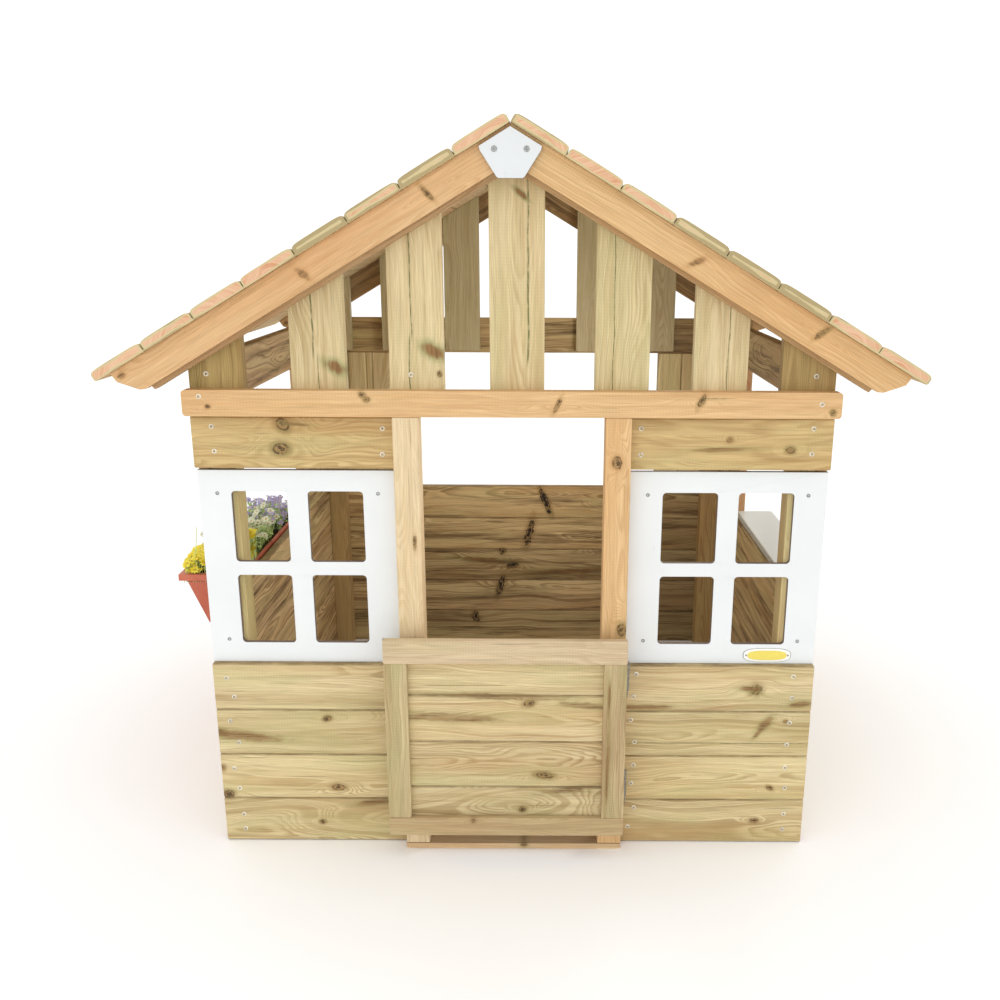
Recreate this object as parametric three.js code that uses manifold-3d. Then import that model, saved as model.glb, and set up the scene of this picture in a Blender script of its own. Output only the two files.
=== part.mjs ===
// Timber playhouse with white window panels, a half door and a flower planter.
// Millimetres, +Z up. The front (door side) faces -Y, the left side is -X.
import * as THREE from "three";
import { mergeVertices } from "three/addons/utils/BufferGeometryUtils.js";
import Module from "manifold-3d";

// ---------------------------------------------------------------- sizes
// Timber sections.
const PITCH = 120; // cover width of a wall board
const THICK = 28; // thickness of every board and flat batten
const BATTEN = 58; // square posts, and the wide face of flat battens
const CHAMFER = 4; // bevel along each long edge of a board
const FIT = 0.3; // gap left between two pieces that touch

// House body. Y is counted from the outer face of the front boards.
const HALF_WIDTH = 720;
const DEPTH = 1300; // outer face of the front boards to outer face of the back boards
const SILL = 5 * PITCH; // top of the side and back walls below their openings
const WALL_TOP = 9 * PITCH; // top of the front boards and underside of the eave boards
const EAVE_TOP = 10 * PITCH;

// Doorway and front wall.
const DOORWAY_HALF = 207;
const POST_OUT = DOORWAY_HALF + BATTEN;
const POST_FRONT = -30;
const THRESHOLD_TOP = 15;
const LOWER_BOARDS_TOP = 4 * PITCH;
const UPPER_BOARD_BOTTOM = 8 * PITCH;

// White window panels, set back behind the face of the boards.
const PANEL_THICK = 12;
const PANEL_TOP = 953;
const PANE_WIDTH = 127;
const PANE_HEIGHT = 170;
const PANE_RADIUS = 9;
const PANEL_SIDE = 74; // from the outer end of the panel to the first pane
const PANEL_MULLION = 48;
const PANEL_FOOT = 50; // from the foot of the panel to the lower panes
const PANEL_BAR = 33;

// Eave rail above the door.
const RAIL_HALF = 725;
const RAIL_BOTTOM = 1084;
const RAIL_ROUND = 8;

// Gable slats: centre of each, from left to right.
const SLAT_WIDTH = 120;
const SLAT_CENTRES = [-654, -427, -210, 11, 242, 459, 655];

// Roof.
const ROOF_ANGLE = THREE.MathUtils.degToRad(30.6);
const RIDGE_TOP = 1716.6; // where the two top faces would meet
const ROOF_THICK = 22;
const ROOF_BOARDS = 8;
const ROOF_PITCH = 129.1;
const ROOF_SLOT = 2; // slot between two roof boards
const ROOF_LAP = 4; // depth of the lap that joins neighbouring boards
const RIDGE_GAP = 0.5; // from the middle to the first board of each side
const ROOF_OVERHANG = 70; // past the front and back walls
const RAKE_DEPTH = 65;
const INNER_RAFTER_DEPTH = 74;

// Side openings.
const OPENING_FRONT = 250;
const OPENING_REAR = 880;
const BACK_OPENING_HALF = 470;

// Counter shelf on the right wall.
const SHELF_IN = 696;
const SHELF_OUT = 812;
const SHELF_THICK = 20;
const SHELF_FRONT = 332;

// Half door, hung in front of the posts on its right edge.
const DOOR_LEFT = -298;
const DOOR_RIGHT = 266;
const DOOR_BACK = -32.3;
const DOOR_BOTTOM = 67;
const DOOR_TOP = 575;
const DOOR_BOARDS_BOTTOM = 70;
const DOOR_PITCH = 120;
const DOOR_FRAME_THICK = 16; // battens nailed on the front of the door boards
const DOOR_STILE = 54;
const DOOR_BOTTOM_RAIL = 48;
const DOOR_FRONT = DOOR_BACK - THICK - FIT - DOOR_FRAME_THICK;

// Butt hinges of the door.
const HINGE_X = 271;
const HINGE_Y = -31.2;
const HINGE_RADIUS = 4;
const PIN_RADIUS = 2;
const HINGE_HEIGHT = 70;
const HINGE_BOTTOMS = [150, 432];

// Planter on the left wall.
const PLANTER_FRONT = 292;
const PLANTER_REAR = 962;
const PLANTER_IN = 725;
const PLANTER_OUT = 895;
const PLANTER_TOP = 602;
const PLANTER_RIM = 17;
const PLANTER_FOOT = 456;
const PLANTER_WALL = 4;
const PLANTER_LIP = 14; // the rim stands out this far round the body
const PLANTER_TAPER = 47; // the body's outer side leans in by this much
const PLANTER_END_TAPER = 16;

// ---------------------------------------------------------------- colours
const COLOURS = {
  board: 0xcdb47d,
  slat: 0xdcc896,
  rake: 0xe1b987,
  post: 0xd9b98a,
  door: 0xcdb28e,
  roof: 0xcfa57c,
  dark: 0x8f7350,
  panel: 0xf0f5f8,
  plate: 0xebf0f0,
  shelf: 0xdcdeda,
  planter: 0xc3735a,
  steel: 0x9a9c9e,
};

// ---------------------------------------------------------------- helpers
const wasm = await Module();
wasm.setup();

const house = new THREE.Group();
house.name = "playhouse";

function addPiece(name, geometry, colour) {
  const material = new THREE.MeshStandardMaterial({ color: COLOURS[colour] });
  const mesh = new THREE.Mesh(geometry, material);
  mesh.name = name;
  house.add(mesh);
}

// A square-edged block between two corners.
function block(x0, x1, y0, y1, z0, z1) {
  const g = new THREE.BoxGeometry(x1 - x0, y1 - y0, z1 - z0);
  g.translate((x0 + x1) / 2, (y0 + y1) / 2, (z0 + z1) / 2);
  return g;
}

function outline(points) {
  return new THREE.Shape(points.map(([u, v]) => new THREE.Vector2(u, v)));
}

function extruded(shape, length) {
  return new THREE.ExtrudeGeometry(shape, { depth: length, bevelEnabled: false, curveSegments: 5 });
}

// Section in (y, z), run along X from x0 to x1.
function alongX(shape, x0, x1) {
  const turn = new THREE.Matrix4().set(0, 0, 1, x0, 1, 0, 0, 0, 0, 1, 0, 0, 0, 0, 0, 1);
  return extruded(shape, x1 - x0).applyMatrix4(turn);
}

// Section in (x, z), run along Y from y0 to y1.
function alongY(shape, y0, y1) {
  const turn = new THREE.Matrix4().set(1, 0, 0, 0, 0, 0, -1, y1, 0, 1, 0, 0, 0, 0, 0, 1);
  return extruded(shape, y1 - y0).applyMatrix4(turn);
}

// Section in (x, y), run along Z from z0 to z1.
function alongZ(shape, z0, z1) {
  return extruded(shape, z1 - z0).translate(0, 0, z0);
}

// Outline of boards laid edge to edge: u across the thickness, v along the stack.
// Each board has a bevel on its four long edges, so a V runs along every seam.
function boardStack(u0, u1, v0, v1, count) {
  const step = (v1 - v0) / count;
  const c = CHAMFER;
  const points = [[u0 + c, v0], [u1 - c, v0], [u1, v0 + c]];
  for (let i = 1; i < count; i += 1) {
    const v = v0 + i * step;
    points.push([u1, v - c], [u1 - c, v], [u1, v + c]);
  }
  points.push([u1, v1 - c], [u1 - c, v1], [u0 + c, v1], [u0, v1 - c]);
  for (let i = count - 1; i > 0; i -= 1) {
    const v = v0 + i * step;
    points.push([u0, v + c], [u0 + c, v], [u0, v - c]);
  }
  points.push([u0, v0 + c]);
  return outline(points);
}

function solid(geometry) {
  const bare = new THREE.BufferGeometry();
  const flat = geometry.index ? geometry.toNonIndexed() : geometry;
  bare.setAttribute("position", flat.getAttribute("position"));
  const merged = mergeVertices(bare, 1e-4);
  const vertProperties = new Float32Array(merged.getAttribute("position").array);
  const triVerts = new Uint32Array(merged.index.array);
  return new wasm.Manifold(new wasm.Mesh({ numProp: 3, vertProperties, triVerts }));
}

function geometryOf(manifold) {
  const mesh = manifold.getMesh();
  const g = new THREE.BufferGeometry();
  g.setAttribute("position", new THREE.BufferAttribute(new Float32Array(mesh.vertProperties), 3));
  g.setIndex(new THREE.BufferAttribute(new Uint32Array(mesh.triVerts), 1));
  return g;
}

function joined(...geometries) {
  return geometryOf(wasm.Manifold.union(geometries.map(solid)));
}

function cut(geometry, ...tools) {
  let left = solid(geometry);
  for (const tool of tools) {
    left = left.subtract(solid(tool));
  }
  return geometryOf(left);
}

// An upright round bar.
function bar(x, y, z0, z1, radius) {
  const g = new THREE.CylinderGeometry(radius, radius, z1 - z0, 20);
  g.rotateX(Math.PI / 2);
  g.translate(x, y, (z0 + z1) / 2);
  return g;
}

// A tub: level top and bottom, each given as [x0, x1, y0, y1, z].
function tub(foot, top) {
  const corner = ([x0, x1, y0, y1, z]) => [[x0, y0, z], [x1, y0, z], [x1, y1, z], [x0, y1, z]];
  const p = [...corner(foot), ...corner(top)];
  const quads = [[3, 2, 1, 0], [4, 5, 6, 7], [0, 1, 5, 4], [1, 2, 6, 5], [2, 3, 7, 6], [3, 0, 4, 7]];
  const index = quads.flatMap(([a, b, c, d]) => [a, b, c, a, c, d]);
  const g = new THREE.BufferGeometry();
  g.setAttribute("position", new THREE.Float32BufferAttribute(p.flat(), 3));
  g.setIndex(index);
  return g;
}

const mirrored = (side, a, b) => (side < 0 ? [-b, -a] : [a, b]);
const SIDES = [["left", -1], ["right", 1]];

// ---------------------------------------------------------------- roof lines
const COS = Math.cos(ROOF_ANGLE);
const TAN = Math.tan(ROOF_ANGLE);
const ROOF_UNDER = RIDGE_TOP - ROOF_THICK / COS; // underside of the boards at the middle
const underRoof = (x) => ROOF_UNDER - TAN * Math.abs(x);

// ---------------------------------------------------------------- front wall
const WALL_START = POST_OUT + 2 * FIT;

for (const [name, side] of SIDES) {
  const [x0, x1] = mirrored(side, WALL_START, HALF_WIDTH);
  const lower = boardStack(0, THICK, 0, LOWER_BOARDS_TOP, 4);
  addPiece("front_" + name + "_lower_boards", alongX(lower, x0, x1), "board");
  const upper = boardStack(0, THICK, UPPER_BOARD_BOTTOM, WALL_TOP, 1);
  addPiece("front_" + name + "_upper_board", alongX(upper, x0, x1), "board");
}

function windowPanel(side) {
  const z0 = LOWER_BOARDS_TOP + FIT;
  const [x0, x1] = mirrored(side, WALL_START, HALF_WIDTH);
  const sheet = outline([[x0, z0], [x1, z0], [x1, PANEL_TOP], [x0, PANEL_TOP]]);
  const outer = HALF_WIDTH - PANEL_SIDE;
  for (const column of [0, 1]) {
    const far = outer - column * (PANE_WIDTH + PANEL_MULLION);
    const [left, right] = mirrored(side, far - PANE_WIDTH, far);
    for (const row of [0, 1]) {
      const low = LOWER_BOARDS_TOP + PANEL_FOOT + row * (PANE_HEIGHT + PANEL_BAR);
      sheet.holes.push(roundedHole(left, right, low, low + PANE_HEIGHT, PANE_RADIUS));
    }
  }
  return alongY(sheet, THICK - FIT - PANEL_THICK, THICK - FIT);
}

function roundedHole(u0, u1, v0, v1, r) {
  const hole = new THREE.Path();
  hole.moveTo(u0 + r, v0);
  hole.absarc(u0 + r, v0 + r, r, 1.5 * Math.PI, Math.PI, true);
  hole.absarc(u0 + r, v1 - r, r, Math.PI, 0.5 * Math.PI, true);
  hole.absarc(u1 - r, v1 - r, r, 0.5 * Math.PI, 0, true);
  hole.absarc(u1 - r, v0 + r, r, 2 * Math.PI, 1.5 * Math.PI, true);
  return hole;
}

for (const [name, side] of SIDES) {
  addPiece("front_" + name + "_window_panel", windowPanel(side), "panel");
}

for (const [name, side] of SIDES) {
  const [x0, x1] = mirrored(side, DOORWAY_HALF, POST_OUT);
  const post = block(x0, x1, POST_FRONT, THICK, THRESHOLD_TOP + FIT, RAIL_BOTTOM - FIT);
  addPiece("door_post_" + name, post, "post");
}
addPiece("threshold", block(-POST_OUT, POST_OUT, POST_FRONT, THICK, 0, THRESHOLD_TOP), "post");

// Eave rail: a flat batten with softly rounded ends.
function eaveRail() {
  const r = RAIL_ROUND;
  const z0 = RAIL_BOTTOM;
  const z1 = RAIL_BOTTOM + BATTEN;
  const rail = new THREE.Shape();
  rail.moveTo(-RAIL_HALF + r, z0);
  rail.lineTo(RAIL_HALF - r, z0);
  rail.absarc(RAIL_HALF - r, z0 + r, r, -Math.PI / 2, 0, false);
  rail.absarc(RAIL_HALF - r, z1 - r, r, 0, Math.PI / 2, false);
  rail.lineTo(-RAIL_HALF + r, z1);
  rail.absarc(-RAIL_HALF + r, z1 - r, r, Math.PI / 2, Math.PI, false);
  rail.absarc(-RAIL_HALF + r, z0 + r, r, Math.PI, 1.5 * Math.PI, false);
  return alongY(rail, -THICK - FIT, -FIT);
}
addPiece("front_eave_rail", eaveRail(), "rake");

// ---------------------------------------------------------------- gables
// A slat's head is cut to the roof line, with a peak where it crosses the middle.
function slat(centre, foot, y0, y1) {
  const x0 = centre - SLAT_WIDTH / 2;
  const x1 = centre + SLAT_WIDTH / 2;
  const head = (x) => underRoof(x) - 2 * FIT;
  const points = [[x0, foot], [x1, foot], [x1, head(x1)]];
  if (x0 < 0 && x1 > 0) {
    points.push([0, head(0)]);
  }
  points.push([x0, head(x0)]);
  return alongY(outline(points), y0, y1);
}

SLAT_CENTRES.forEach((centre, i) => {
  addPiece("front_slat_" + (i + 1), slat(centre, RAIL_BOTTOM + 1, 0, THICK), "slat");
});

const BACK_SLAT_FRONT = DEPTH - 2 * THICK - FIT;
SLAT_CENTRES.forEach((centre, i) => {
  const piece = slat(centre, WALL_TOP + 10, BACK_SLAT_FRONT, BACK_SLAT_FRONT + THICK);
  addPiece("back_slat_" + (i + 1), piece, "slat");
});

// A rafter is an outer rake board and a deeper inner board, nailed together.
const RAKE_TIP = 862; // where the rake's end meets the roof boards
const rakeLow = (x, depth) => underRoof(x) - depth / COS;

function rafterOutline(side, points) {
  const shaped = points.map(([x, z]) => [side * x, z - 2 * FIT]);
  return outline(side < 0 ? shaped.reverse() : shaped);
}

function rafter(side, rakeY0, rakeY1, innerY0, innerY1) {
  const rake = rafterOutline(side, [
    [FIT, rakeLow(0, RAKE_DEPTH)],
    [RAKE_TIP - 72, rakeLow(RAKE_TIP - 72, RAKE_DEPTH)],
    [RAKE_TIP - 60, rakeLow(RAKE_TIP - 72, RAKE_DEPTH) - 1],
    [RAKE_TIP - 13, underRoof(RAKE_TIP) - 18],
    [RAKE_TIP, underRoof(RAKE_TIP)],
    [FIT, underRoof(0)],
  ]);
  const inner = rafterOutline(side, [
    [FIT, rakeLow(0, INNER_RAFTER_DEPTH)],
    [780, rakeLow(780, INNER_RAFTER_DEPTH)],
    [800, underRoof(800) - 50],
    [800, underRoof(800)],
    [FIT, underRoof(0)],
  ]);
  return joined(alongY(rake, rakeY0, rakeY1), alongY(inner, innerY0, innerY1));
}

const BACK = DEPTH + FIT;
for (const [name, side] of SIDES) {
  const front = rafter(side, -2 * THICK, -THICK, -THICK - 0.01, -FIT);
  addPiece("front_rafter_" + name, front, "rake");
  const back = rafter(side, BACK + THICK, BACK + 2 * THICK, BACK, BACK + THICK + 0.01);
  addPiece("back_rafter_" + name, back, "rake");
}

// White pentagon over the joint of the rake boards.
function apexPlate(y0, y1) {
  const half = 64;
  const foot = 29;
  const top = (x) => underRoof(x) - 8.5;
  const low = top(half) - 61.5;
  const points = [[-foot, low + 3], [-foot + 4, low], [foot - 4, low], [foot, low + 3]];
  points.push([half - 2, top(half) - 8], [half, top(half)], [0, top(0)], [-half, top(half)]);
  points.push([-half + 2, top(half) - 8]);
  return alongY(outline(points), y0, y1);
}
const PLATE_THICK = 10;
const RAKE_FACE = -2 * THICK - FIT;
addPiece("front_apex_plate", apexPlate(RAKE_FACE - PLATE_THICK, RAKE_FACE), "plate");
const BACK_RAKE_FACE = BACK + 2 * THICK + FIT;
addPiece("back_apex_plate", apexPlate(BACK_RAKE_FACE, BACK_RAKE_FACE + PLATE_THICK), "plate");

// ---------------------------------------------------------------- back wall
const backBoards = boardStack(DEPTH - THICK, DEPTH, 0, SILL, 5);
addPiece("back_wall_boards", alongX(backBoards, -HALF_WIDTH, HALF_WIDTH), "board");
const backEave = boardStack(DEPTH - THICK, DEPTH, WALL_TOP, EAVE_TOP, 1);
addPiece("back_eave_board", alongX(backEave, -HALF_WIDTH, HALF_WIDTH), "dark");

for (const [name, side] of SIDES) {
  const [x0, x1] = mirrored(side, BACK_OPENING_HALF, HALF_WIDTH);
  const stack = boardStack(DEPTH - THICK, DEPTH, x0, x1, 3);
  const turned = outline(stack.getPoints().map((p) => [p.y, p.x]).reverse());
  const piece = alongZ(turned, SILL + FIT, WALL_TOP - FIT);
  addPiece("back_" + name + "_side_boards", piece, "slat");
}

// ---------------------------------------------------------------- side walls
const SIDE_FRONT = THICK + FIT;
const SIDE_REAR = DEPTH - THICK - FIT;
for (const [name, side] of SIDES) {
  const [u0, u1] = mirrored(side, HALF_WIDTH - THICK, HALF_WIDTH);
  const wall = boardStack(u0, u1, 0, SILL, 5);
  addPiece(name + "_wall_boards", alongY(wall, SIDE_FRONT, SIDE_REAR), "board");
  const eave = boardStack(u0, u1, WALL_TOP, EAVE_TOP, 1);
  addPiece(name + "_eave_board", alongY(eave, SIDE_FRONT, BACK_SLAT_FRONT - FIT), "dark");
  const upper = boardStack(u0, u1, SILL + FIT, WALL_TOP - FIT, 4);
  addPiece(name + "_front_upper_boards", alongY(upper, SIDE_FRONT, OPENING_FRONT), "board");
  addPiece(name + "_rear_upper_boards", alongY(upper, OPENING_REAR, SIDE_REAR), "board");
}

for (const [name, side] of SIDES) {
  const [x0, x1] = mirrored(side, HALF_WIDTH - THICK - BATTEN - FIT, HALF_WIDTH - THICK - FIT);
  const front = block(x0, x1, THICK + FIT, THICK + FIT + BATTEN, 0, RAIL_BOTTOM + BATTEN);
  addPiece("corner_post_front_" + name, front, "board");
  const rear = block(x0, x1, DEPTH - THICK - FIT - BATTEN, DEPTH - THICK - FIT, 0, WALL_TOP);
  addPiece("corner_post_back_" + name, rear, "board");
}

// Counter shelf: a smooth board with a rounded outer edge, on the sill of the right wall.
const shelfSection = new THREE.Shape();
const SHELF_BOTTOM = SILL + FIT;
const SHELF_NOSE = SHELF_THICK / 2;
shelfSection.moveTo(SHELF_IN + 2, SHELF_BOTTOM);
shelfSection.lineTo(SHELF_OUT - SHELF_NOSE, SHELF_BOTTOM);
shelfSection.absarc(SHELF_OUT - SHELF_NOSE, SHELF_BOTTOM + SHELF_NOSE, SHELF_NOSE,
  -Math.PI / 2, Math.PI / 2, false);
shelfSection.lineTo(SHELF_IN + 2, SHELF_BOTTOM + SHELF_THICK);
shelfSection.lineTo(SHELF_IN, SHELF_BOTTOM + SHELF_THICK - 2);
shelfSection.lineTo(SHELF_IN, SHELF_BOTTOM + 2);
addPiece("counter_shelf", alongY(shelfSection, SHELF_FRONT, OPENING_REAR - 2), "shelf");

// ---------------------------------------------------------------- roof
// Height of a board's crowned top under its highest line, against the distance from its edge.
const ROOF_CROWN = [[0, 8.5], [1.2, 5.2], [3.6, 2.8], [8, 1.2], [18, 0.3], [34, 0]];

// Board section: s runs down the slope from the middle, t is the height over the rafters.
function roofSection() {
  const points = [];
  for (let i = 0; i < ROOF_BOARDS; i += 1) {
    const last = i === ROOF_BOARDS - 1;
    const s0 = RIDGE_GAP / COS + i * ROOF_PITCH + (i ? ROOF_SLOT / 2 : 0);
    const s1 = RIDGE_GAP / COS + (i + 1) * ROOF_PITCH - (last ? 0 : ROOF_SLOT / 2);
    points.push([s0, i ? ROOF_LAP : 0]);
    ROOF_CROWN.forEach(([d, drop]) => points.push([s0 + d, ROOF_THICK - drop]));
    ROOF_CROWN.toReversed().forEach(([d, drop]) => points.push([s1 - d, ROOF_THICK - drop]));
    points.push([s1, last ? 3 : ROOF_LAP]);
  }
  const end = points[points.length - 1][0];
  points.push([end - 3, 0]);
  return points;
}

function roofHalf(side) {
  const section = roofSection().map(([s, t]) => {
    const x = s * COS + t * Math.sin(ROOF_ANGLE);
    const z = ROOF_UNDER - s * Math.sin(ROOF_ANGLE) + t * COS;
    return [side * x, z];
  });
  // Going down the slope along the top face is clockwise on the right side.
  const shape = outline(side > 0 ? section.reverse() : section);
  return alongY(shape, -ROOF_OVERHANG, DEPTH + ROOF_OVERHANG);
}
for (const [name, side] of SIDES) {
  addPiece("roof_" + name, roofHalf(side), "roof");
}

// ---------------------------------------------------------------- half door
const DOOR_FACE = DOOR_BACK - THICK;
const doorBoards = boardStack(DOOR_FACE, DOOR_BACK, DOOR_BOARDS_BOTTOM,
  DOOR_BOARDS_BOTTOM + 4 * DOOR_PITCH, 4);
addPiece("door_boards", alongX(doorBoards, DOOR_LEFT, DOOR_RIGHT), "board");

const FRAME_BACK = DOOR_FACE - FIT;
function doorBatten(x0, x1, z0, z1) {
  return block(x0, x1, DOOR_FRONT, FRAME_BACK, z0, z1);
}
addPiece("door_bottom_rail",
  doorBatten(DOOR_LEFT, DOOR_RIGHT, DOOR_BOTTOM, DOOR_BOTTOM + DOOR_BOTTOM_RAIL), "door");
addPiece("door_top_rail",
  doorBatten(DOOR_LEFT, DOOR_RIGHT, DOOR_TOP - BATTEN, DOOR_TOP), "door");
const STILE_LOW = DOOR_BOTTOM + DOOR_BOTTOM_RAIL + FIT;
const STILE_HIGH = DOOR_TOP - BATTEN - FIT;
addPiece("door_stile_left",
  doorBatten(DOOR_LEFT, DOOR_LEFT + DOOR_STILE, STILE_LOW, STILE_HIGH), "door");
addPiece("door_stile_right",
  doorBatten(DOOR_RIGHT - DOOR_STILE, DOOR_RIGHT, STILE_LOW, STILE_HIGH), "door");

// Each hinge has three knuckles: the door leaf carries the middle one and the pin.
function doorLeaf(z0) {
  const step = HINGE_HEIGHT / 3;
  const mid0 = z0 + step + FIT;
  const mid1 = z0 + 2 * step - FIT;
  const plateX = DOOR_RIGHT + FIT;
  const plate = block(plateX, plateX + 2, DOOR_FRONT + 4, HINGE_Y - 6, z0, z0 + HINGE_HEIGHT);
  const tab = block(plateX, HINGE_X - 2, HINGE_Y - 7, HINGE_Y, mid0, mid1);
  const knuckle = bar(HINGE_X, HINGE_Y, mid0, mid1, HINGE_RADIUS);
  const pin = bar(HINGE_X, HINGE_Y, z0 - 3, z0 + HINGE_HEIGHT + 3, PIN_RADIUS);
  return joined(plate, tab, knuckle, pin);
}

function postLeaf(z0) {
  const step = HINGE_HEIGHT / 3;
  const plateX = POST_OUT + FIT;
  const plate = block(plateX, plateX + 2, HINGE_Y + 4, -2, z0, z0 + HINGE_HEIGHT);
  const ends = [[z0, z0 + step], [z0 + 2 * step, z0 + HINGE_HEIGHT]];
  const tabs = ends.map(([a, b]) => block(plateX, HINGE_X - 2.5, HINGE_Y + 1, HINGE_Y + 6, a, b));
  const knuckles = ends.map(([a, b]) => bar(HINGE_X, HINGE_Y, a, b, HINGE_RADIUS));
  const bore = bar(HINGE_X, HINGE_Y, z0 - 5, z0 + HINGE_HEIGHT + 5, PIN_RADIUS + FIT);
  return cut(joined(plate, ...tabs, ...knuckles), bore);
}

HINGE_BOTTOMS.forEach((z0, i) => {
  const level = i ? "upper" : "lower";
  addPiece("hinge_" + level + "_door_leaf", doorLeaf(z0), "steel");
  addPiece("hinge_" + level + "_post_leaf", postLeaf(z0), "steel");
});

// ---------------------------------------------------------------- planter
function planter() {
  const w = PLANTER_WALL;
  const lip = PLANTER_LIP;
  const rimLow = PLANTER_TOP - PLANTER_RIM;
  const y0 = PLANTER_FRONT + lip;
  const y1 = PLANTER_REAR - lip;
  const x0 = -PLANTER_OUT + lip;
  const x1 = -PLANTER_IN - 4;
  const dx = PLANTER_TAPER;
  const dy = PLANTER_END_TAPER;
  const rim = block(-PLANTER_OUT, -PLANTER_IN, PLANTER_FRONT, PLANTER_REAR, rimLow, PLANTER_TOP);
  const body = tub([x0 + dx, x1, y0 + dy, y1 - dy, PLANTER_FOOT], [x0, x1, y0, y1, rimLow + 2]);
  const hollow = tub(
    [x0 + dx + w, x1 - w, y0 + dy + w, y1 - dy - w, PLANTER_FOOT + w],
    [x0 + w, x1 - w, y0 + w, y1 - w, rimLow + 1],
  );
  const mouth = block(x0 + w, x1 - w, y0 + w, y1 - w, rimLow + 0.5, PLANTER_TOP + 10);
  return cut(joined(rim, body), hollow, mouth);
}
addPiece("planter", planter(), "planter");

// Steel cradle: a strip on the wall with two arms under the planter.
function planterBracket() {
  const wall = -HALF_WIDTH - FIT;
  const low = PLANTER_FOOT - FIT - 4;
  const strip = block(wall - 4, wall, PLANTER_FRONT + 40, PLANTER_REAR - 40, low - 26, low + 4);
  const arms = [PLANTER_FRONT + 110, PLANTER_REAR - 140].flatMap((y) => {
    const reach = -PLANTER_OUT + PLANTER_LIP + PLANTER_TAPER;
    return [
      block(reach - 6, wall - 1, y, y + 30, low, low + 4),
      block(reach - 6, reach - 2.5, y, y + 30, low, low + 7),
    ];
  });
  return joined(strip, ...arms);
}
addPiece("planter_bracket", planterBracket(), "steel");

// ---------------------------------------------------------------- placing
// The origin is on the floor, under the middle of the whole playhouse.
const Y_MIN = DOOR_FRONT;
const Y_MAX = DEPTH + ROOF_OVERHANG;
house.position.set(0, -(Y_MIN + Y_MAX) / 2, 0);

export default house;
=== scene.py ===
"""Looks of the timber playhouse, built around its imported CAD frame. Metres, row frame."""

import math
import random
from types import SimpleNamespace

import bmesh
import bpy
from mathutils import Matrix, Vector


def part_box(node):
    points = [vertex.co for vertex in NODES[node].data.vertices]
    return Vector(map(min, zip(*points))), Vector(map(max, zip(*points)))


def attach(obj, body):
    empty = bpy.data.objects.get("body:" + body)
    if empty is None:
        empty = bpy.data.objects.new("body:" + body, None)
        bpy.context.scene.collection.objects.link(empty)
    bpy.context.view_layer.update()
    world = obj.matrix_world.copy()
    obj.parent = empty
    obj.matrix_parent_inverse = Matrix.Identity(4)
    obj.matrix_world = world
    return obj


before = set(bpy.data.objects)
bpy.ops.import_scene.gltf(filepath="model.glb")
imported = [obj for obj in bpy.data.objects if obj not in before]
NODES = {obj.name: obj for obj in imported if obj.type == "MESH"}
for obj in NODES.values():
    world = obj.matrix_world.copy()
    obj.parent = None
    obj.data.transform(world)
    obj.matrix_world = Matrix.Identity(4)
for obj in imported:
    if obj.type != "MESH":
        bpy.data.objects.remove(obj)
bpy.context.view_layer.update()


def lo(node):
    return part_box(node)[0]


def hi(node):
    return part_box(node)[1]


# Places the rest of the script works from.
FACE_Y = lo("front_left_lower_boards")[1]  # outer face of the front boards
BACK_Y = hi("back_wall_boards")[1]
BOARD = 0.12


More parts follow.
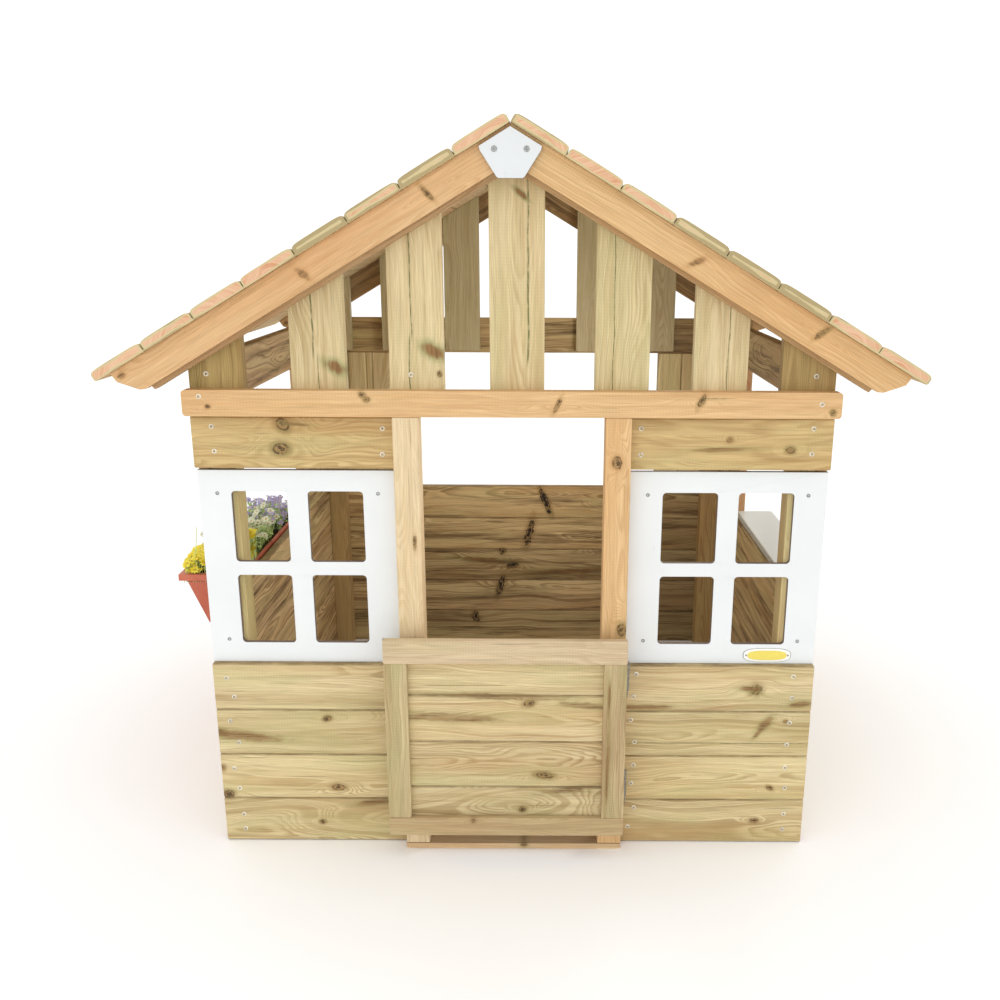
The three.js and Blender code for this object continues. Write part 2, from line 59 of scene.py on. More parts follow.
# ------------------------------------------------------------------ node helpers
class Tree:
    """A material's node tree, with short calls for the nodes used here."""

    def __init__(self, name):
        self.mat = bpy.data.materials.new(name)
        self.mat.use_nodes = True
        self.nt = self.mat.node_tree
        self.nt.nodes.clear()
        self.out = self.nt.nodes.new("ShaderNodeOutputMaterial")
        self.bsdf = self.nt.nodes.new("ShaderNodeBsdfPrincipled")
        self.nt.links.new(self.bsdf.outputs[0], self.out.inputs[0])

    def put(self, socket, value):
        if isinstance(value, bpy.types.NodeSocket):
            self.nt.links.new(value, socket)
        elif value is not None:
            socket.default_value = value

    def node(self, kind, inputs, **settings):
        """The outputs of a new node, whose inputs are given by name or number."""
        n = self.nt.nodes.new("ShaderNode" + kind)
        for key, val in settings.items():
            setattr(n, key, val)
        for key, val in inputs.items():
            self.put(n.inputs[key], val)
        return n.outputs

    def coords(self, kind="Object"):
        return self.node("TexCoord", {})[kind]

    def math(self, op, a, b=None, clamp=False):
        return self.node("Math", {0: a, 1: b}, operation=op, use_clamp=clamp)[0]

    def add(self, a, b, clamp=False):
        return self.math("ADD", a, b, clamp)

    def sub(self, a, b):
        return self.math("SUBTRACT", a, b)

    def mul(self, a, b, clamp=False):
        return self.math("MULTIPLY", a, b, clamp)

    def vmath(self, op, a, b):
        return self.node("VectorMath", {0: a, 1: b}, operation=op)[0]

    def split(self, v):
        return self.node("SeparateXYZ", {0: v})

    def join(self, x, y, z):
        return self.node("CombineXYZ", {0: x, 1: y, 2: z})[0]

    def turned(self, v, angle):
        return self.node("VectorRotate", {"Vector": v, "Angle": angle}, rotation_type="Y_AXIS")[0]

    def noise(self, v, scale, detail=3.0, rough=0.5, out=0):
        return self.node("TexNoise", {"Vector": v, "Scale": scale, "Detail": detail, "Roughness": rough})[out]

    def white(self, v):
        return self.node("TexWhiteNoise", {"Vector": v}, noise_dimensions="3D")["Color"]

    def cells(self, v, out):
        return self.node("TexVoronoi", {"Vector": v, "Scale": 1.0})[out]

    def ease(self, v, a, b, lo_=0.0, hi_=1.0):
        sockets = {"Value": v, "From Min": a, "From Max": b, "To Min": lo_, "To Max": hi_}
        return self.node("MapRange", sockets, interpolation_type="SMOOTHSTEP")[0]

    def fade(self, v, a, b):
        return self.ease(v, a, b, 1.0, 0.0)

    def mix(self, f, a, b):
        return self.node("Mix", {0: f, 6: colour(a), 7: colour(b)}, data_type="RGBA")[2]

    def tint(self, c, hue, val):
        return self.node("HueSaturation", {"Hue": hue, "Value": val, "Color": c})[0]

    def bump(self, height, strength, distance):
        return self.node("Bump", {"Strength": strength, "Distance": distance, "Height": height})[0]

    def finish(self, base, rough, normal=None, **sockets):
        self.put(self.bsdf.inputs["Base Color"], base)
        self.put(self.bsdf.inputs["Roughness"], rough)
        self.put(self.bsdf.inputs["Normal"], normal)
        for key, val in sockets.items():
            self.bsdf.inputs[key.replace("_", " ")].default_value = val
        return self.mat


def colour(c):
    """An sRGB triple of 0 to 255 as a linear colour; a socket stays as it is."""
    if not isinstance(c, tuple):
        return c
    lin = [v / 255 for v in c[:3]]
    lin = [v / 12.92 if v <= 0.04045 else ((v + 0.055) / 1.055) ** 2.4 for v in lin]
    return (*lin, 1.0)


def scaled(c, *share):
    """An sRGB triple with each channel times its share, or all times the only one."""
    share = share if len(share) == 3 else share * 3
    return tuple(int(v * k) for v, k in zip(c, share))


# ------------------------------------------------------------------ timber
def along_slope(places, tilt):
    """Turns (x, z, ...) places into the frame whose first axis lies along a slope."""
    c, s = math.cos(tilt), math.sin(tilt)
    return [(x * c + z * s, -x * s + z * c, *rest) for x, z, *rest in places]


def ellipses(t, u, v, places, longer=1.0, wider=1.0):
    """The least of the distances to tilted ellipses, each 1 on its own outline."""
    least = None
    for cu, cv, ru, rv, angle in places:
        ru, rv = ru * longer, rv * wider
        c, s = math.cos(math.radians(angle)), math.sin(math.radians(angle))
        du = t.sub(u, cu)
        dv = t.sub(v, cv)
        a = t.add(t.mul(du, c / ru), t.mul(dv, s / ru))
        b = t.sub(t.mul(dv, c / rv), t.mul(du, s / rv))
        d = t.math("SQRT", t.add(t.mul(a, a), t.mul(b, b)))
        least = d if least is None else t.math("MINIMUM", least, d)
    return least


# What a timber material is like unless its own call says otherwise.
WOOD = dict(
    pale=(226, 207, 160), ring=(180, 148, 96), green=(184, 180, 124), warm=(204, 164, 108),
    greenness=0.4, warmth=0.35, ring_gap=0.0046, ring_depth=0.75, spread=0.06, checks=0.5,
    rough=0.62, sawn=0.0, ends=(206, 166, 122), knots=(), stray=0.0, jag=1.0, pith=(70, 52, 32),
    patches=(), stain=(146, 142, 84), burn=0.7, arches=(), lines=(), inside=None, shade=(), skin=None,
)
FRESH = (37.0, 11.0)  # how far a board's noise may be moved along it and across it
EDGE_SLOT = 0.001  # half the slot between two roof boards


class Timber(Tree):
    """A pine material, with the signals that its layers share."""

    def __init__(self, name, grain, across, pitch, start, tilt, look):
        super().__init__(name)
        self.look, self.grain, self.pitch, self.tilt = look, grain, pitch, tilt
        place = self.coords()
        self.level = self.split(place)
        self.place = self.turned(place, tilt) if tilt else place
        xyz = self.split(self.place)
        self.u, self.v, self.w = xyz[grain], xyz[across], xyz[3 - grain - across]
        if pitch:
            step = self.math("DIVIDE", self.sub(self.v, start), pitch)
            self.index = self.math("FLOOR", step)
            self.local = self.mul(self.sub(self.math("FRACT", step), 0.5), pitch)
        else:
            self.index = self.math("FLOOR", self.mul(self.v, 0.01))
            self.local = self.sub(self.math("MODULO", self.add(self.v, 4.0), 0.06), 0.03)
        # Boards at the front and back of the house are dealt their own numbers.
        layer = self.math("FLOOR", self.math("DIVIDE", self.add(self.w, 0.0005), 0.3))
        self.dice = self.split(self.white(self.join(self.index, layer, look.seed + 0.37)))
        self.dice2 = self.split(self.white(self.join(self.index, layer, look.seed + 7.91)))
        self.far = self.add(self.u, self.mul(self.dice[0], FRESH[0]))
        self.moved = self.join(self.far, self.add(self.v, self.mul(self.dice[1], FRESH[1])), self.w)
        self.fibre = self.noise(self.stretched(0.03), 330.0, 3.0, 0.7)
        self.band = self.noise(self.stretched(0.05), 75.0, 3.0, 0.6)
        self.broad = self.noise(self.stretched(0.12), 10.0, 3.0, 0.55)
        self.cloud = self.noise(self.join(self.mul(self.u, 0.22), self.v, self.index), 12.0, 4.0, 0.6)

    def stretched(self, k):
        """Position with the grain squeezed, so that noise draws out along it."""
        return self.join(self.mul(self.far, k), self.v, self.w)


def knot_fields(t):
    """How near the closest knot lies, 1 on its outline, and the same for the longer swelling round it."""
    look, knot, swell = t.look, None, None
    if look.knots:
        knot = ellipses(t, t.u, t.v, look.knots)
        level = [(u, v, max(a, b), min(a, b), 0) for u, v, a, b, _ in look.knots]
        swell = ellipses(t, t.u, t.v, level, 3.4, 1.5)
    if look.stray > 0:
        spot = t.join(t.mul(t.far, 2.4), t.mul(t.v, 6.5), look.seed)
        cell = t.mul(t.cells(spot, "Distance"), 17.0)
        pick = t.split(t.cells(spot, "Color"))[0]
        cell = t.add(cell, t.mul(t.math("GREATER_THAN", pick, look.stray), 50.0))
        wide = t.mul(cell, 0.42)
        knot = cell if knot is None else t.math("MINIMUM", knot, cell)
        swell = wide if swell is None else t.math("MINIMUM", swell, wide)
    if knot is not None:
        ragged = t.sub(t.noise(t.moved, 75.0, 3.0, 0.6), 0.5)
        knot = t.add(knot, t.mul(ragged, look.jag))
    return knot, swell


def late_wood(t, swell):
    """The rings' dark part, 0 to 1. The pith wanders along the board, and the rings bend round knots."""
    wander = t.split(t.noise(t.join(t.far, t.index, t.look.seed), 1.7, 2.0, 0.5, out=1))
    across = t.mul(t.sub(t.dice[2], 0.5), 0.12)
    across = t.add(across, t.mul(t.sub(wander[0], 0.5), 0.13))
    deep = t.add(0.018, t.mul(t.dice2[0], 0.05))
    deep = t.add(deep, t.mul(t.sub(wander[1], 0.5), 0.07))
    off = t.sub(t.local, across)
    radius = t.math("SQRT", t.add(t.math("POWER", off, 2.0), t.math("POWER", deep, 2.0)))
    radius = t.add(radius, t.mul(t.w, 0.85))
    radius = t.add(radius, t.mul(t.noise(t.stretched(0.09), 24.0, 2.0, 0.5), 0.012))
    radius = t.add(radius, t.mul(t.noise(t.stretched(0.3), 70.0, 2.0, 0.6), 0.0016))
    if swell is not None:
        radius = t.add(radius, t.mul(t.fade(swell, 0.0, 1.9), 0.015))
    if t.look.arches:
        arc = t.fade(ellipses(t, t.u, t.v, t.look.arches), 0.0, 3.0)
        radius = t.add(radius, t.mul(arc, 0.05))
    gap = t.add(t.look.ring_gap * 0.65, t.mul(t.dice2[1], t.look.ring_gap * 0.8))
    turns = t.math("DIVIDE", radius, gap)
    turns = t.add(turns, t.mul(t.math("SINE", t.mul(radius, 260.0)), 0.9))
    phase = t.math("FRACT", turns)
    late = t.mul(t.ease(phase, 0.2, 0.85), t.fade(phase, 0.86, 1.0))
    return t.mul(late, t.ease(t.noise(t.stretched(0.08), 22.0, 3.0), 0.25, 0.8, 0.25, 1.0))


def clear_wood(t, late):
    """The colour away from knots: rings, darker bands, warm and green areas, and each board's tone."""
    look = t.look
    base = t.mix(t.mul(late, look.ring_depth), look.pale, look.ring)
    base = t.mix(t.mul(t.ease(t.band, 0.42, 0.72), 0.4), base, look.ring)
    base = t.mix(t.mul(t.ease(t.broad, 0.42, 0.7), look.warmth), base, look.warm)
    base = t.mix(t.mul(t.ease(t.cloud, 0.44, 0.72), look.greenness), base, look.green)
    tone = t.add(1.0 - look.spread, t.mul(t.dice2[2], 2 * look.spread))
    tone = t.mul(tone, t.ease(t.fibre, 0.2, 0.8, 0.84, 1.1))
    fine = t.noise(t.stretched(0.02), 1300.0, 2.0, 0.6)
    tone = t.mul(tone, t.ease(fine, 0.3, 0.7, 0.96, 1.04))
    saw_waves = t.math("SINE", t.mul(t.add(t.far, t.mul(t.cloud, 0.02)), 900.0))
    tone = t.add(tone, t.mul(saw_waves, t.ease(t.cloud, 0.4, 0.6, 0.0, 0.022)))
    base = t.tint(base, t.add(0.494, t.mul(t.dice[0], 0.012)), tone)
    # Green salts gather in thin threads along the grain.
    thread = t.noise(t.stretched(0.022), 150.0, 2.0, 0.5)
    thread = t.mul(t.ease(thread, 0.68, 0.74), 0.4 * look.greenness + 0.08)
    return t.mix(thread, base, (122, 116, 66))


def with_knots(t, base, knot):
    """Knots with a stained halo, a ringed heart, a broken dark rim and a dark middle."""
    pith = t.look.pith
    halo = t.mul(t.fade(knot, 0.9, 2.4), t.ease(t.broad, 0.3, 0.7, 0.3, 0.7))
    base = t.mix(halo, base, t.look.ring)
    moss = t.mul(t.fade(knot, 1.0, 2.2), t.ease(t.cloud, 0.45, 0.62))
    base = t.mix(t.mul(moss, 0.45), base, (120, 118, 68))
    swirl = t.math("FRACT", t.add(t.mul(knot, 3.0), t.mul(t.fibre, 0.8)))
    heart = t.mix(t.ease(swirl, 0.0, 1.0), (170, 138, 88), (134, 102, 60))
    base = t.mix(t.ease(knot, 0.80, 1.02, 0.8, 0.0), base, heart)
    broken = t.ease(t.noise(t.moved, 100.0, 2.0, 0.6), 0.38, 0.62)
    rim = t.mul(t.ease(knot, 0.66, 0.94), t.fade(knot, 0.98, 1.28))
    rim = t.mul(rim, t.add(0.15, t.mul(broken, 0.75)))
    base = t.mix(rim, base, scaled(pith, 1.15))
    eye = t.add(knot, t.mul(t.sub(0.5, broken), 0.5))
    return t.mix(t.ease(eye, 0.20, 0.62, 0.85, 0.0), base, pith), rim, eye


def with_patches(t, base):
    """Burnt brown places with a stained fringe and darker streaks along the grain."""
    look = t.look
    ragged = t.sub(t.noise(t.stretched(0.3), 90.0, 3.0, 0.65), 0.5)
    patch = t.add(ellipses(t, t.u, t.v, look.patches), t.mul(ragged, 1.3))
    base = t.mix(t.mul(t.fade(patch, 0.8, 2.1), look.burn * 0.55), base, look.stain)
    base = t.mix(t.mul(t.fade(patch, 0.45, 1.25), look.burn), base, (142, 104, 62))
    streak = t.mul(t.fade(patch, 0.3, 1.3), t.ease(t.fibre, 0.48, 0.6, 0.0, 0.7))
    return t.mix(streak, base, (96, 70, 40))


def with_lines(t, base):
    """Long dark green threads, which bend a little."""
    bend = t.mul(t.sub(t.noise(t.join(t.u, 0.0, t.look.seed), 9.0, 3.0), 0.5), 0.010)
    vein = None
    for at, u0, u1, half in t.look.lines:
        off = t.math("ABSOLUTE", t.sub(t.add(t.v, bend), at))
        off = t.fade(off, half * 0.4, half * 1.7)
        span = t.mul(t.ease(t.u, u0 - 0.02, u0 + 0.02), t.fade(t.u, u1 - 0.02, u1 + 0.02))
        off = t.mul(off, span)
        vein = off if vein is None else t.math("MAXIMUM", vein, off)
    vein = t.mul(vein, t.ease(t.noise(t.moved, 60.0, 3.0), 0.3, 0.6, 0.4, 0.95))
    return t.mix(vein, base, (104, 106, 62))


def with_seam_shade(t, base):
    """Painted shade in the grooves between the boards of a pack, stronger in patches."""
    half = t.pitch / 2
    seam_shade = t.ease(t.noise(t.moved, 14.0, 3.0, 0.6), 0.25, 0.75, 0.25, 0.85)
    seam_shade = t.mul(t.ease(t.math("ABSOLUTE", t.local), half - 0.0045, half - 0.0008), seam_shade)
    return t.mix(seam_shade, base, (108, 88, 54))


def with_cut_ends(t, base, late):
    """Sawn ends, which are darker and show the rings across; roof boards have a greener skin there."""
    ends, skin = t.look.ends, t.look.skin
    normal = t.coords("Normal")
    if t.tilt:
        normal = t.turned(normal, t.tilt)
    end = t.ease(t.math("ABSOLUTE", t.split(normal)[t.grain]), 0.75, 0.95)
    pores = t.noise(t.place, 900.0, 2.0, 0.7)
    cut = t.mix(t.ease(pores, 0.3, 0.7, 0.0, 0.5), ends, scaled(ends, 0.82))
    cut = t.mix(t.mul(late, 0.8), cut, scaled(ends, 0.86, 0.68, 0.56))
    if skin:
        depth = t.sub(t.w, skin[0])
        depth = t.math("MINIMUM", depth, t.sub(skin[1], depth))
        rim = t.sub(t.pitch / 2 - EDGE_SLOT, t.math("ABSOLUTE", t.local))
        depth = t.math("MINIMUM", depth, rim)
        depth = t.add(depth, t.mul(t.sub(t.broad, 0.5), 0.014))
        depth = t.sub(depth, t.mul(t.ease(t.dice[1], 0.70, 0.95), 0.008))
        cut = t.mix(t.ease(depth, 0.0030, 0.0062, 0.85, 0.0), cut, (200, 188, 142))
        cut = t.mix(t.ease(depth, -0.0004, 0.0014, 0.6, 0.0), cut, (146, 128, 88))
    return t.mix(end, base, cut), end


def with_inner_side(t, base, late, rim, eye):
    """The browner, streaked side that faces into the house, and how much of it shows: partly painted shade of
    the dim inside, partly the wood's own dark streaks.
    """
    axis, sign, place = t.look.inside
    deep = t.ease(t.mul(t.sub(t.level[axis], place), sign), 0.0, 0.003)
    shade_streaks = t.noise(t.stretched(0.07), 26.0, 5.0, 0.7)
    # Painted shade: the inner side darkened towards brown, in streaks.
    dark = t.mix(t.mul(t.ease(shade_streaks, 0.48, 0.66), 0.75), base, (104, 78, 48))
    dark = t.mix(t.mul(late, 0.5), dark, (98, 72, 42))
    streak = t.ease(t.add(t.band, t.mul(shade_streaks, 0.6)), 0.92, 1.06, 0.0, 0.6)
    dark = t.mix(streak, dark, (58, 42, 26))
    if rim is not None:
        knotty = t.math("MAXIMUM", t.mul(rim, 1.2, clamp=True), t.fade(eye, 0.3, 0.7))
        dark = t.mix(knotty, dark, t.look.pith)
    return t.mix(deep, base, dark), deep


def timber(name, grain, across, pitch=None, start=0.0, tilt=0.0, **looks):
    """Pine. grain and across are 0, 1 or 2 for the row axis that the grain runs along and the one that
    a pack's boards lie side by side along; pitch and start give those boards. Each board has its own
    pith, ring width and tone. looks are changes to WOOD:
    - knots, patches and arches are ellipses in metres: (along, across, half length, half width, degrees).
      Round an arch the rings close in long arcs. stray is the share of places with a chance knot, jag
      says how ragged the knots are, and pith is their middle's colour.
    - stain and burn set the patches' fringe and strength.
    - lines are dark threads: (across, from, to, half width).
    - inside is (axis, sign, place): past it the wood is browner and streaked, partly painted shade of
      the dim inside. shade is (axis, from, to, least) for each way the wood darkens, on the inner side
      only if inside is given; most are painted shade, a few give one board a darker tone.
    - skin is (perpendicular place, thickness) for roof boards' greener outside."""
    t = Timber(name, grain, across, pitch, start, tilt, SimpleNamespace(**{**WOOD, **looks}))
    look, rim, eye, deep = t.look, None, None, None
    knot, swell = knot_fields(t)
    late = late_wood(t, swell)
    base = clear_wood(t, late)
    if knot is not None:
        base, rim, eye = with_knots(t, base, knot)
    if look.patches:
        base = with_patches(t, base)
    if look.lines:
        base = with_lines(t, base)
    # Short dark drying checks along the grain.
    check = t.noise(t.stretched(0.02), 240.0, 1.0, 0.4)
    check = t.mul(t.ease(check, 0.735, 0.765), look.checks)
    base = t.mix(check, base, (98, 76, 46))
    if pitch:
        base = with_seam_shade(t, base)
    base, end = with_cut_ends(t, base, late)
    if look.inside:
        base, deep = with_inner_side(t, base, late, rim, eye)
    # Each shade entry darkens the wood along one axis: mostly painted shade, on the front and door boards one
    # board's darker tone.
    for axis, begin, stop, least in look.shade:
        dim = t.sub(1.0, t.ease(t.level[axis], begin, stop, least, 1.0))
        if deep is not None:
            dim = t.mul(dim, deep)
        base = t.tint(base, 0.5, t.sub(1.0, dim))

    height = t.add(t.mul(late, 0.5), t.mul(t.fibre, 0.7))
    height = t.sub(height, t.mul(check, 1.5))
    if look.sawn:
        height = t.add(height, t.mul(t.noise(t.place, 700.0, 3.0, 0.75), look.sawn))
    dull = t.add(look.rough - 0.06, t.mul(t.fibre, 0.14))
    dull = t.add(dull, t.mul(end, 0.15), clamp=True)
    return t.finish(base, dull, t.bump(height, 0.4, 0.0012), Specular_IOR_Level=0.3)


def smooth_board(name, face, edge, face_axis, seed=0.0, mottling=0.03, rough=0.38):
    """A smooth laminated sheet: a pale face with faint mottling and a darker cut edge."""
    t = Tree(name)
    p = t.coords()
    cloud = t.noise(t.vmath("ADD", p, (seed, 0, 0)), 7.0, 3.0, 0.5)
    dust = t.noise(p, 260.0, 2.0, 0.6)
    base = t.tint(colour(face), 0.5, t.ease(cloud, 0.3, 0.7, 1.0 - mottling, 1.0))
    base = t.mix(t.mul(t.ease(dust, 0.62, 0.75), 0.10), base, (196, 200, 202))
    scuff = t.noise(t.vmath("MULTIPLY", p, (1.0, 1.0, 0.15)), 90.0, 2.0, 0.5)
    base = t.mix(t.mul(t.ease(scuff, 0.70, 0.78), 0.12), base, (178, 180, 180))
    side = t.math("ABSOLUTE", t.split(t.coords("Normal"))[face_axis])
    rim = t.fade(side, 0.35, 0.85)
    strands = t.noise(t.vmath("MULTIPLY", p, (1.0, 6.0, 1.0)), 160.0, 2.0, 0.6)
    rim_colour = t.mix(t.ease(strands, 0.3, 0.7), edge, scaled(edge, 0.72))
    base = t.mix(rim, base, rim_colour)
    grit = t.noise(p, 1400.0, 2.0, 0.6)
    bump = t.bump(grit, 0.05, 0.0004)
    dull = t.add(rough, t.mul(cloud, 0.12))
    dull = t.add(dull, t.mul(rim, 0.25))
    return t.finish(base, dull, bump)


def moulded(name, tint_, dark, rough=0.45):
    """Moulded plastic: fine orange peel, faint streaks, chalky on its upper edges."""
    t = Tree(name)
    p = t.coords()
    cloud = t.noise(p, 9.0, 4.0, 0.55)
    base = t.mix(t.ease(cloud, 0.35, 0.7), tint_, dark)
    up = t.ease(t.split(t.coords("Normal"))[2], 0.5, 1.0)
    chalk = t.noise(t.vmath("MULTIPLY", p, (3.0, 0.6, 3.0)), 60.0, 3.0, 0.6)
    base = t.mix(t.mul(up, t.ease(chalk, 0.4, 0.7, 0.05, 0.35)), base, (222, 160, 134))
    speck = t.noise(p, 480.0, 2.0, 0.6)
    base = t.mix(t.mul(t.ease(speck, 0.66, 0.74), 0.25), base, dark)
    peel = t.noise(p, 620.0, 3.0, 0.6)
    dull = t.add(rough, t.mul(cloud, 0.2))
    return t.finish(base, dull, t.bump(peel, 0.15, 0.0005))


def zinc(name, tint_=(176, 178, 180), metal=0.85):
    """Zinc-plated steel, a little mottled and dulled."""
    t = Tree(name)
    p = t.coords()
    bloom = t.noise(p, 140.0, 4.0, 0.6)
    base = t.mix(t.ease(bloom, 0.35, 0.7), tint_, scaled(tint_, 0.78))
    stain = t.noise(p, 40.0, 3.0, 0.6)
    base = t.mix(t.mul(t.ease(stain, 0.6, 0.78), 0.4), base, (142, 122, 96))
    dull = t.ease(bloom, 0.3, 0.7, 0.34, 0.55)
    return t.finish(base, dull, t.bump(bloom, 0.12, 0.0003), Metallic=metal)


# ------------------------------------------------------------------ materials
PAINT = {}  # each CAD node's material
W0 = lo("front_left_lower_boards")[2]  # lower edge of the lowest boards
ROOF_PITCH = 0.1291  # from one roof board to the next, down the slope
ROOF_BOARDS = 8  # on each side
ROOF_THICK = 0.022
SLOPE = math.radians(30.6)
ROOF_RUN = ROOF_BOARDS * ROOF_PITCH + 0.0006
ROOF_UNDER = lo("roof_right")[2] + (ROOF_RUN - 0.003) * math.sin(SLOPE)
UNDER_OFFSET = ROOF_UNDER * math.cos(SLOPE)  # from the origin square to the roof's underside

PALE = dict(pale=(220, 201, 156), ring=(150, 117, 68), greenness=0.45, warmth=0.4,
            warm=(184, 146, 90), ring_depth=0.72)
ORANGE = dict(
    pale=(226, 188, 138), ring=(190, 142, 88), greenness=0.12, green=(204, 180, 126),
    warm=(212, 160, 104), warmth=0.4, ring_gap=0.0042, ring_depth=0.65, checks=0.25,
)
PAINT["front_left_lower_boards"] = PAINT["front_right_lower_boards"] = timber(
    "pine_front", 0, 2, BOARD, W0, seed=1.0, shade=((2, W0 + 0.117, W0 + 0.122, 0.93),),
    knots=(
        (-0.452, 0.338, 0.009, 0.006, 10), (-0.713, 0.299, 0.011, 0.008, 0),
        (-0.433, 0.150, 0.015, 0.008, -6), (-0.708, 0.130, 0.013, 0.010, 0),
        (-0.716, 0.204, 0.006, 0.008, 0), (-0.478, 0.054, 0.007, 0.005, 0),
        (0.584, 0.420, 0.013, 0.012, 30), (0.660, 0.336, 0.005, 0.004, 0),
        (0.633, 0.154, 0.008, 0.005, -30), (0.600, 0.062, 0.010, 0.006, 0),
    ),
    patches=(
        (0.611, 0.327, 0.028, 0.011, 50), (-0.352, 0.108, 0.050, 0.009, 6), (-0.655, 0.290, 0.095, 0.013, -6),
        (0.690, 0.380, 0.030, 0.008, 6), (0.565, 0.421, 0.022, 0.007, -6), (0.586, 0.421, 0.008, 0.007, 0),
        (0.597, 0.306, 0.022, 0.006, 52), (0.30, 0.372, 0.08, 0.007, 0),
    ),
    lines=((0.276, 0.24, 0.71, 0.0009),),
    arches=((-0.33, 0.058, 0.11, 0.021, 2), (-0.62, 0.335, 0.14, 0.014, 0)),
    **PALE,
)
PAINT["front_left_upper_board"] = PAINT["front_right_upper_board"] = timber(
    "pine_front_upper", 0, 2, seed=2.0,
    knots=((-0.514, 1.062, 0.015, 0.012, -40), (-0.521, 1.006, 0.016, 0.012, 0),
           (0.488, 1.031, 0.007, 0.006, 20), (0.625, 1.007, 0.009, 0.007, 0)),
    patches=((0.47, 1.008, 0.07, 0.005, 2), (-0.48, 1.062, 0.03, 0.004, -4)), jag=0.6,
    **dict(PALE, pale=(206, 180, 126), ring=(150, 114, 62), greenness=0.35),
)
BACK_LO = lo("back_wall_boards")
# Its inner face is browner and painted darker towards the bottom and towards the right end: painted shade of
# the dim inside.
PAINT["back_wall_boards"] = timber(
    "pine_back", 0, 2, BOARD, W0, seed=4.0, stray=0.10, pale=(226, 200, 148), ring=(150, 112, 64),
    greenness=0.3, warm=(182, 140, 88), warmth=0.6, spread=0.12, inside=(1, -1, BACK_LO[1] + 0.012),
    shade=((2, 0.05, 0.62, 0.68), (0, 0.50, 0.22, 0.66)),
    knots=((-0.078, 0.352, 0.011, 0.010, 0), (-0.041, 0.300, 0.019, 0.011, 8),
           (0.078, 0.545, 0.010, 0.040, 22), (0.020, 0.425, 0.012, 0.044, -14),
           (-0.086, 0.220, 0.010, 0.034, -16), (-0.18, 0.095, 0.012, 0.020, 20)),
    patches=((0.16, 0.275, 0.16, 0.012, 3), (-0.14, 0.318, 0.10, 0.009, -5)), pith=(30, 24, 16), burn=0.9,
    jag=1.7, arches=((-0.20, 0.462, 0.18, 0.020, 3), (0.20, 0.345, 0.16, 0.018, -4)),
)
# Painted darker than the walls' pine, and darker still towards the right on its inner side: painted shade
# under the roof.
PAINT["back_eave_board"] = timber(
    "pine_back_eave", 0, 2, seed=5.0, stray=0.25, pale=(200, 172, 124), ring=(130, 100, 62),
    greenness=0.3, warm=(150, 114, 72), warmth=0.6,
    inside=(1, -1, BACK_LO[1] + 0.012), shade=((0, 0.44, 0.20, 0.82),),
)
SIDE = dict(stray=0.14, pale=(216, 190, 142), ring=(158, 122, 74), greenness=0.35, warm=(188, 146, 92),
            warmth=0.5, spread=0.10)
SIDE_IN = hi("right_wall_boards")[0] - 0.020
# Their inner faces are painted darker towards the bottom, the right wall more: painted shade of the dim
# inside.
side_left = timber("pine_side_left", 1, 2, BOARD, W0, seed=6.0, inside=(0, 1, -SIDE_IN),
                   shade=((2, 0.0, 0.62, 0.95),), **SIDE)
side_right = timber("pine_side_right", 1, 2, BOARD, W0, seed=7.0, inside=(0, -1, SIDE_IN),
                    shade=((2, 0.0, 0.62, 0.76),), **SIDE)
SLATS = dict(pale=(218, 200, 156), ring=(172, 144, 94), greenness=0.45, green=(184, 176, 122), warmth=0.18,
             warm=(194, 160, 108), ring_gap=0.0055, ring_depth=0.65, checks=0.3)
SLAT_PITCH, SLAT_START = 0.2202, -0.0991  # the gable slats along X
slats = timber(
    "pine_slat", 2, 0, SLAT_PITCH, SLAT_START, seed=9.0, burn=0.95, stain=(120, 130, 70),
    patches=((1.190, -0.388, 0.012, 0.024, 27), (1.226, -0.172, 0.014, 0.026, 27),
             (1.556, 0.020, 0.005, 0.018, 40)),
    knots=((1.176, -0.160, 0.006, 0.005, 0), (1.130, 0.270, 0.004, 0.004, 0)),
    lines=(
        (-0.436, 1.215, 1.45, 0.0016), (-0.220, 1.255, 1.52, 0.0014), (-0.225, 1.13, 1.26, 0.0013),
        (0.035, 1.20, 1.70, 0.0018), (0.222, 1.13, 1.60, 0.0010), (0.474, 1.13, 1.50, 0.0011),
        (-0.426, 1.12, 1.215, 0.001),
    ),
    **SLATS,
)
slats_brown = timber("pine_slat_end", 2, 0, SLAT_PITCH, SLAT_START, seed=10.0, pale=(176, 150, 96),
                     ring=(122, 92, 48), green=(138, 126, 72), warm=(148, 112, 62), warmth=0.5)
# The inner face of the back slats is painted darker: painted shade under the roof.
slats_back = timber("pine_slat_back", 2, 0, SLAT_PITCH, SLAT_START, seed=11.0,
                    patches=((1.150, -0.320, 0.012, 0.022, 27), (1.170, 0.270, 0.012, 0.022, -30)),
                    shade=((1, BACK_LO[1], BACK_LO[1] + 0.018, 0.82),),
                    **dict(SLATS, pale=(212, 200, 158), warmth=0.1))
UPRIGHT_PITCH, UPRIGHT_START = 0.08333, 0.47  # the upright boards beside the back window, along X
PAINT["back_left_side_boards"] = PAINT["back_right_side_boards"] = timber(
    "pine_upright", 2, 0, UPRIGHT_PITCH, UPRIGHT_START, seed=12.0, stray=0.08,
    pale=(216, 198, 152), ring=(172, 142, 92), greenness=0.45, warmth=0.2,
)
PAINT["door_post_left"] = timber(
    "pine_post_left", 2, 0, seed=15.0, knots=((0.795, -0.222, 0.016, 0.004, 0),),
    **dict(ORANGE, pale=(222, 199, 163), ring=(198, 166, 122), warmth=0.2),
)
PAINT["door_post_right"] = timber(
    "pine_post_right", 2, 0, seed=16.0,
    knots=((0.983, 0.234, 0.013, 0.010, 0), (0.585, 0.254, 0.014, 0.010, 0)), **ORANGE,
)
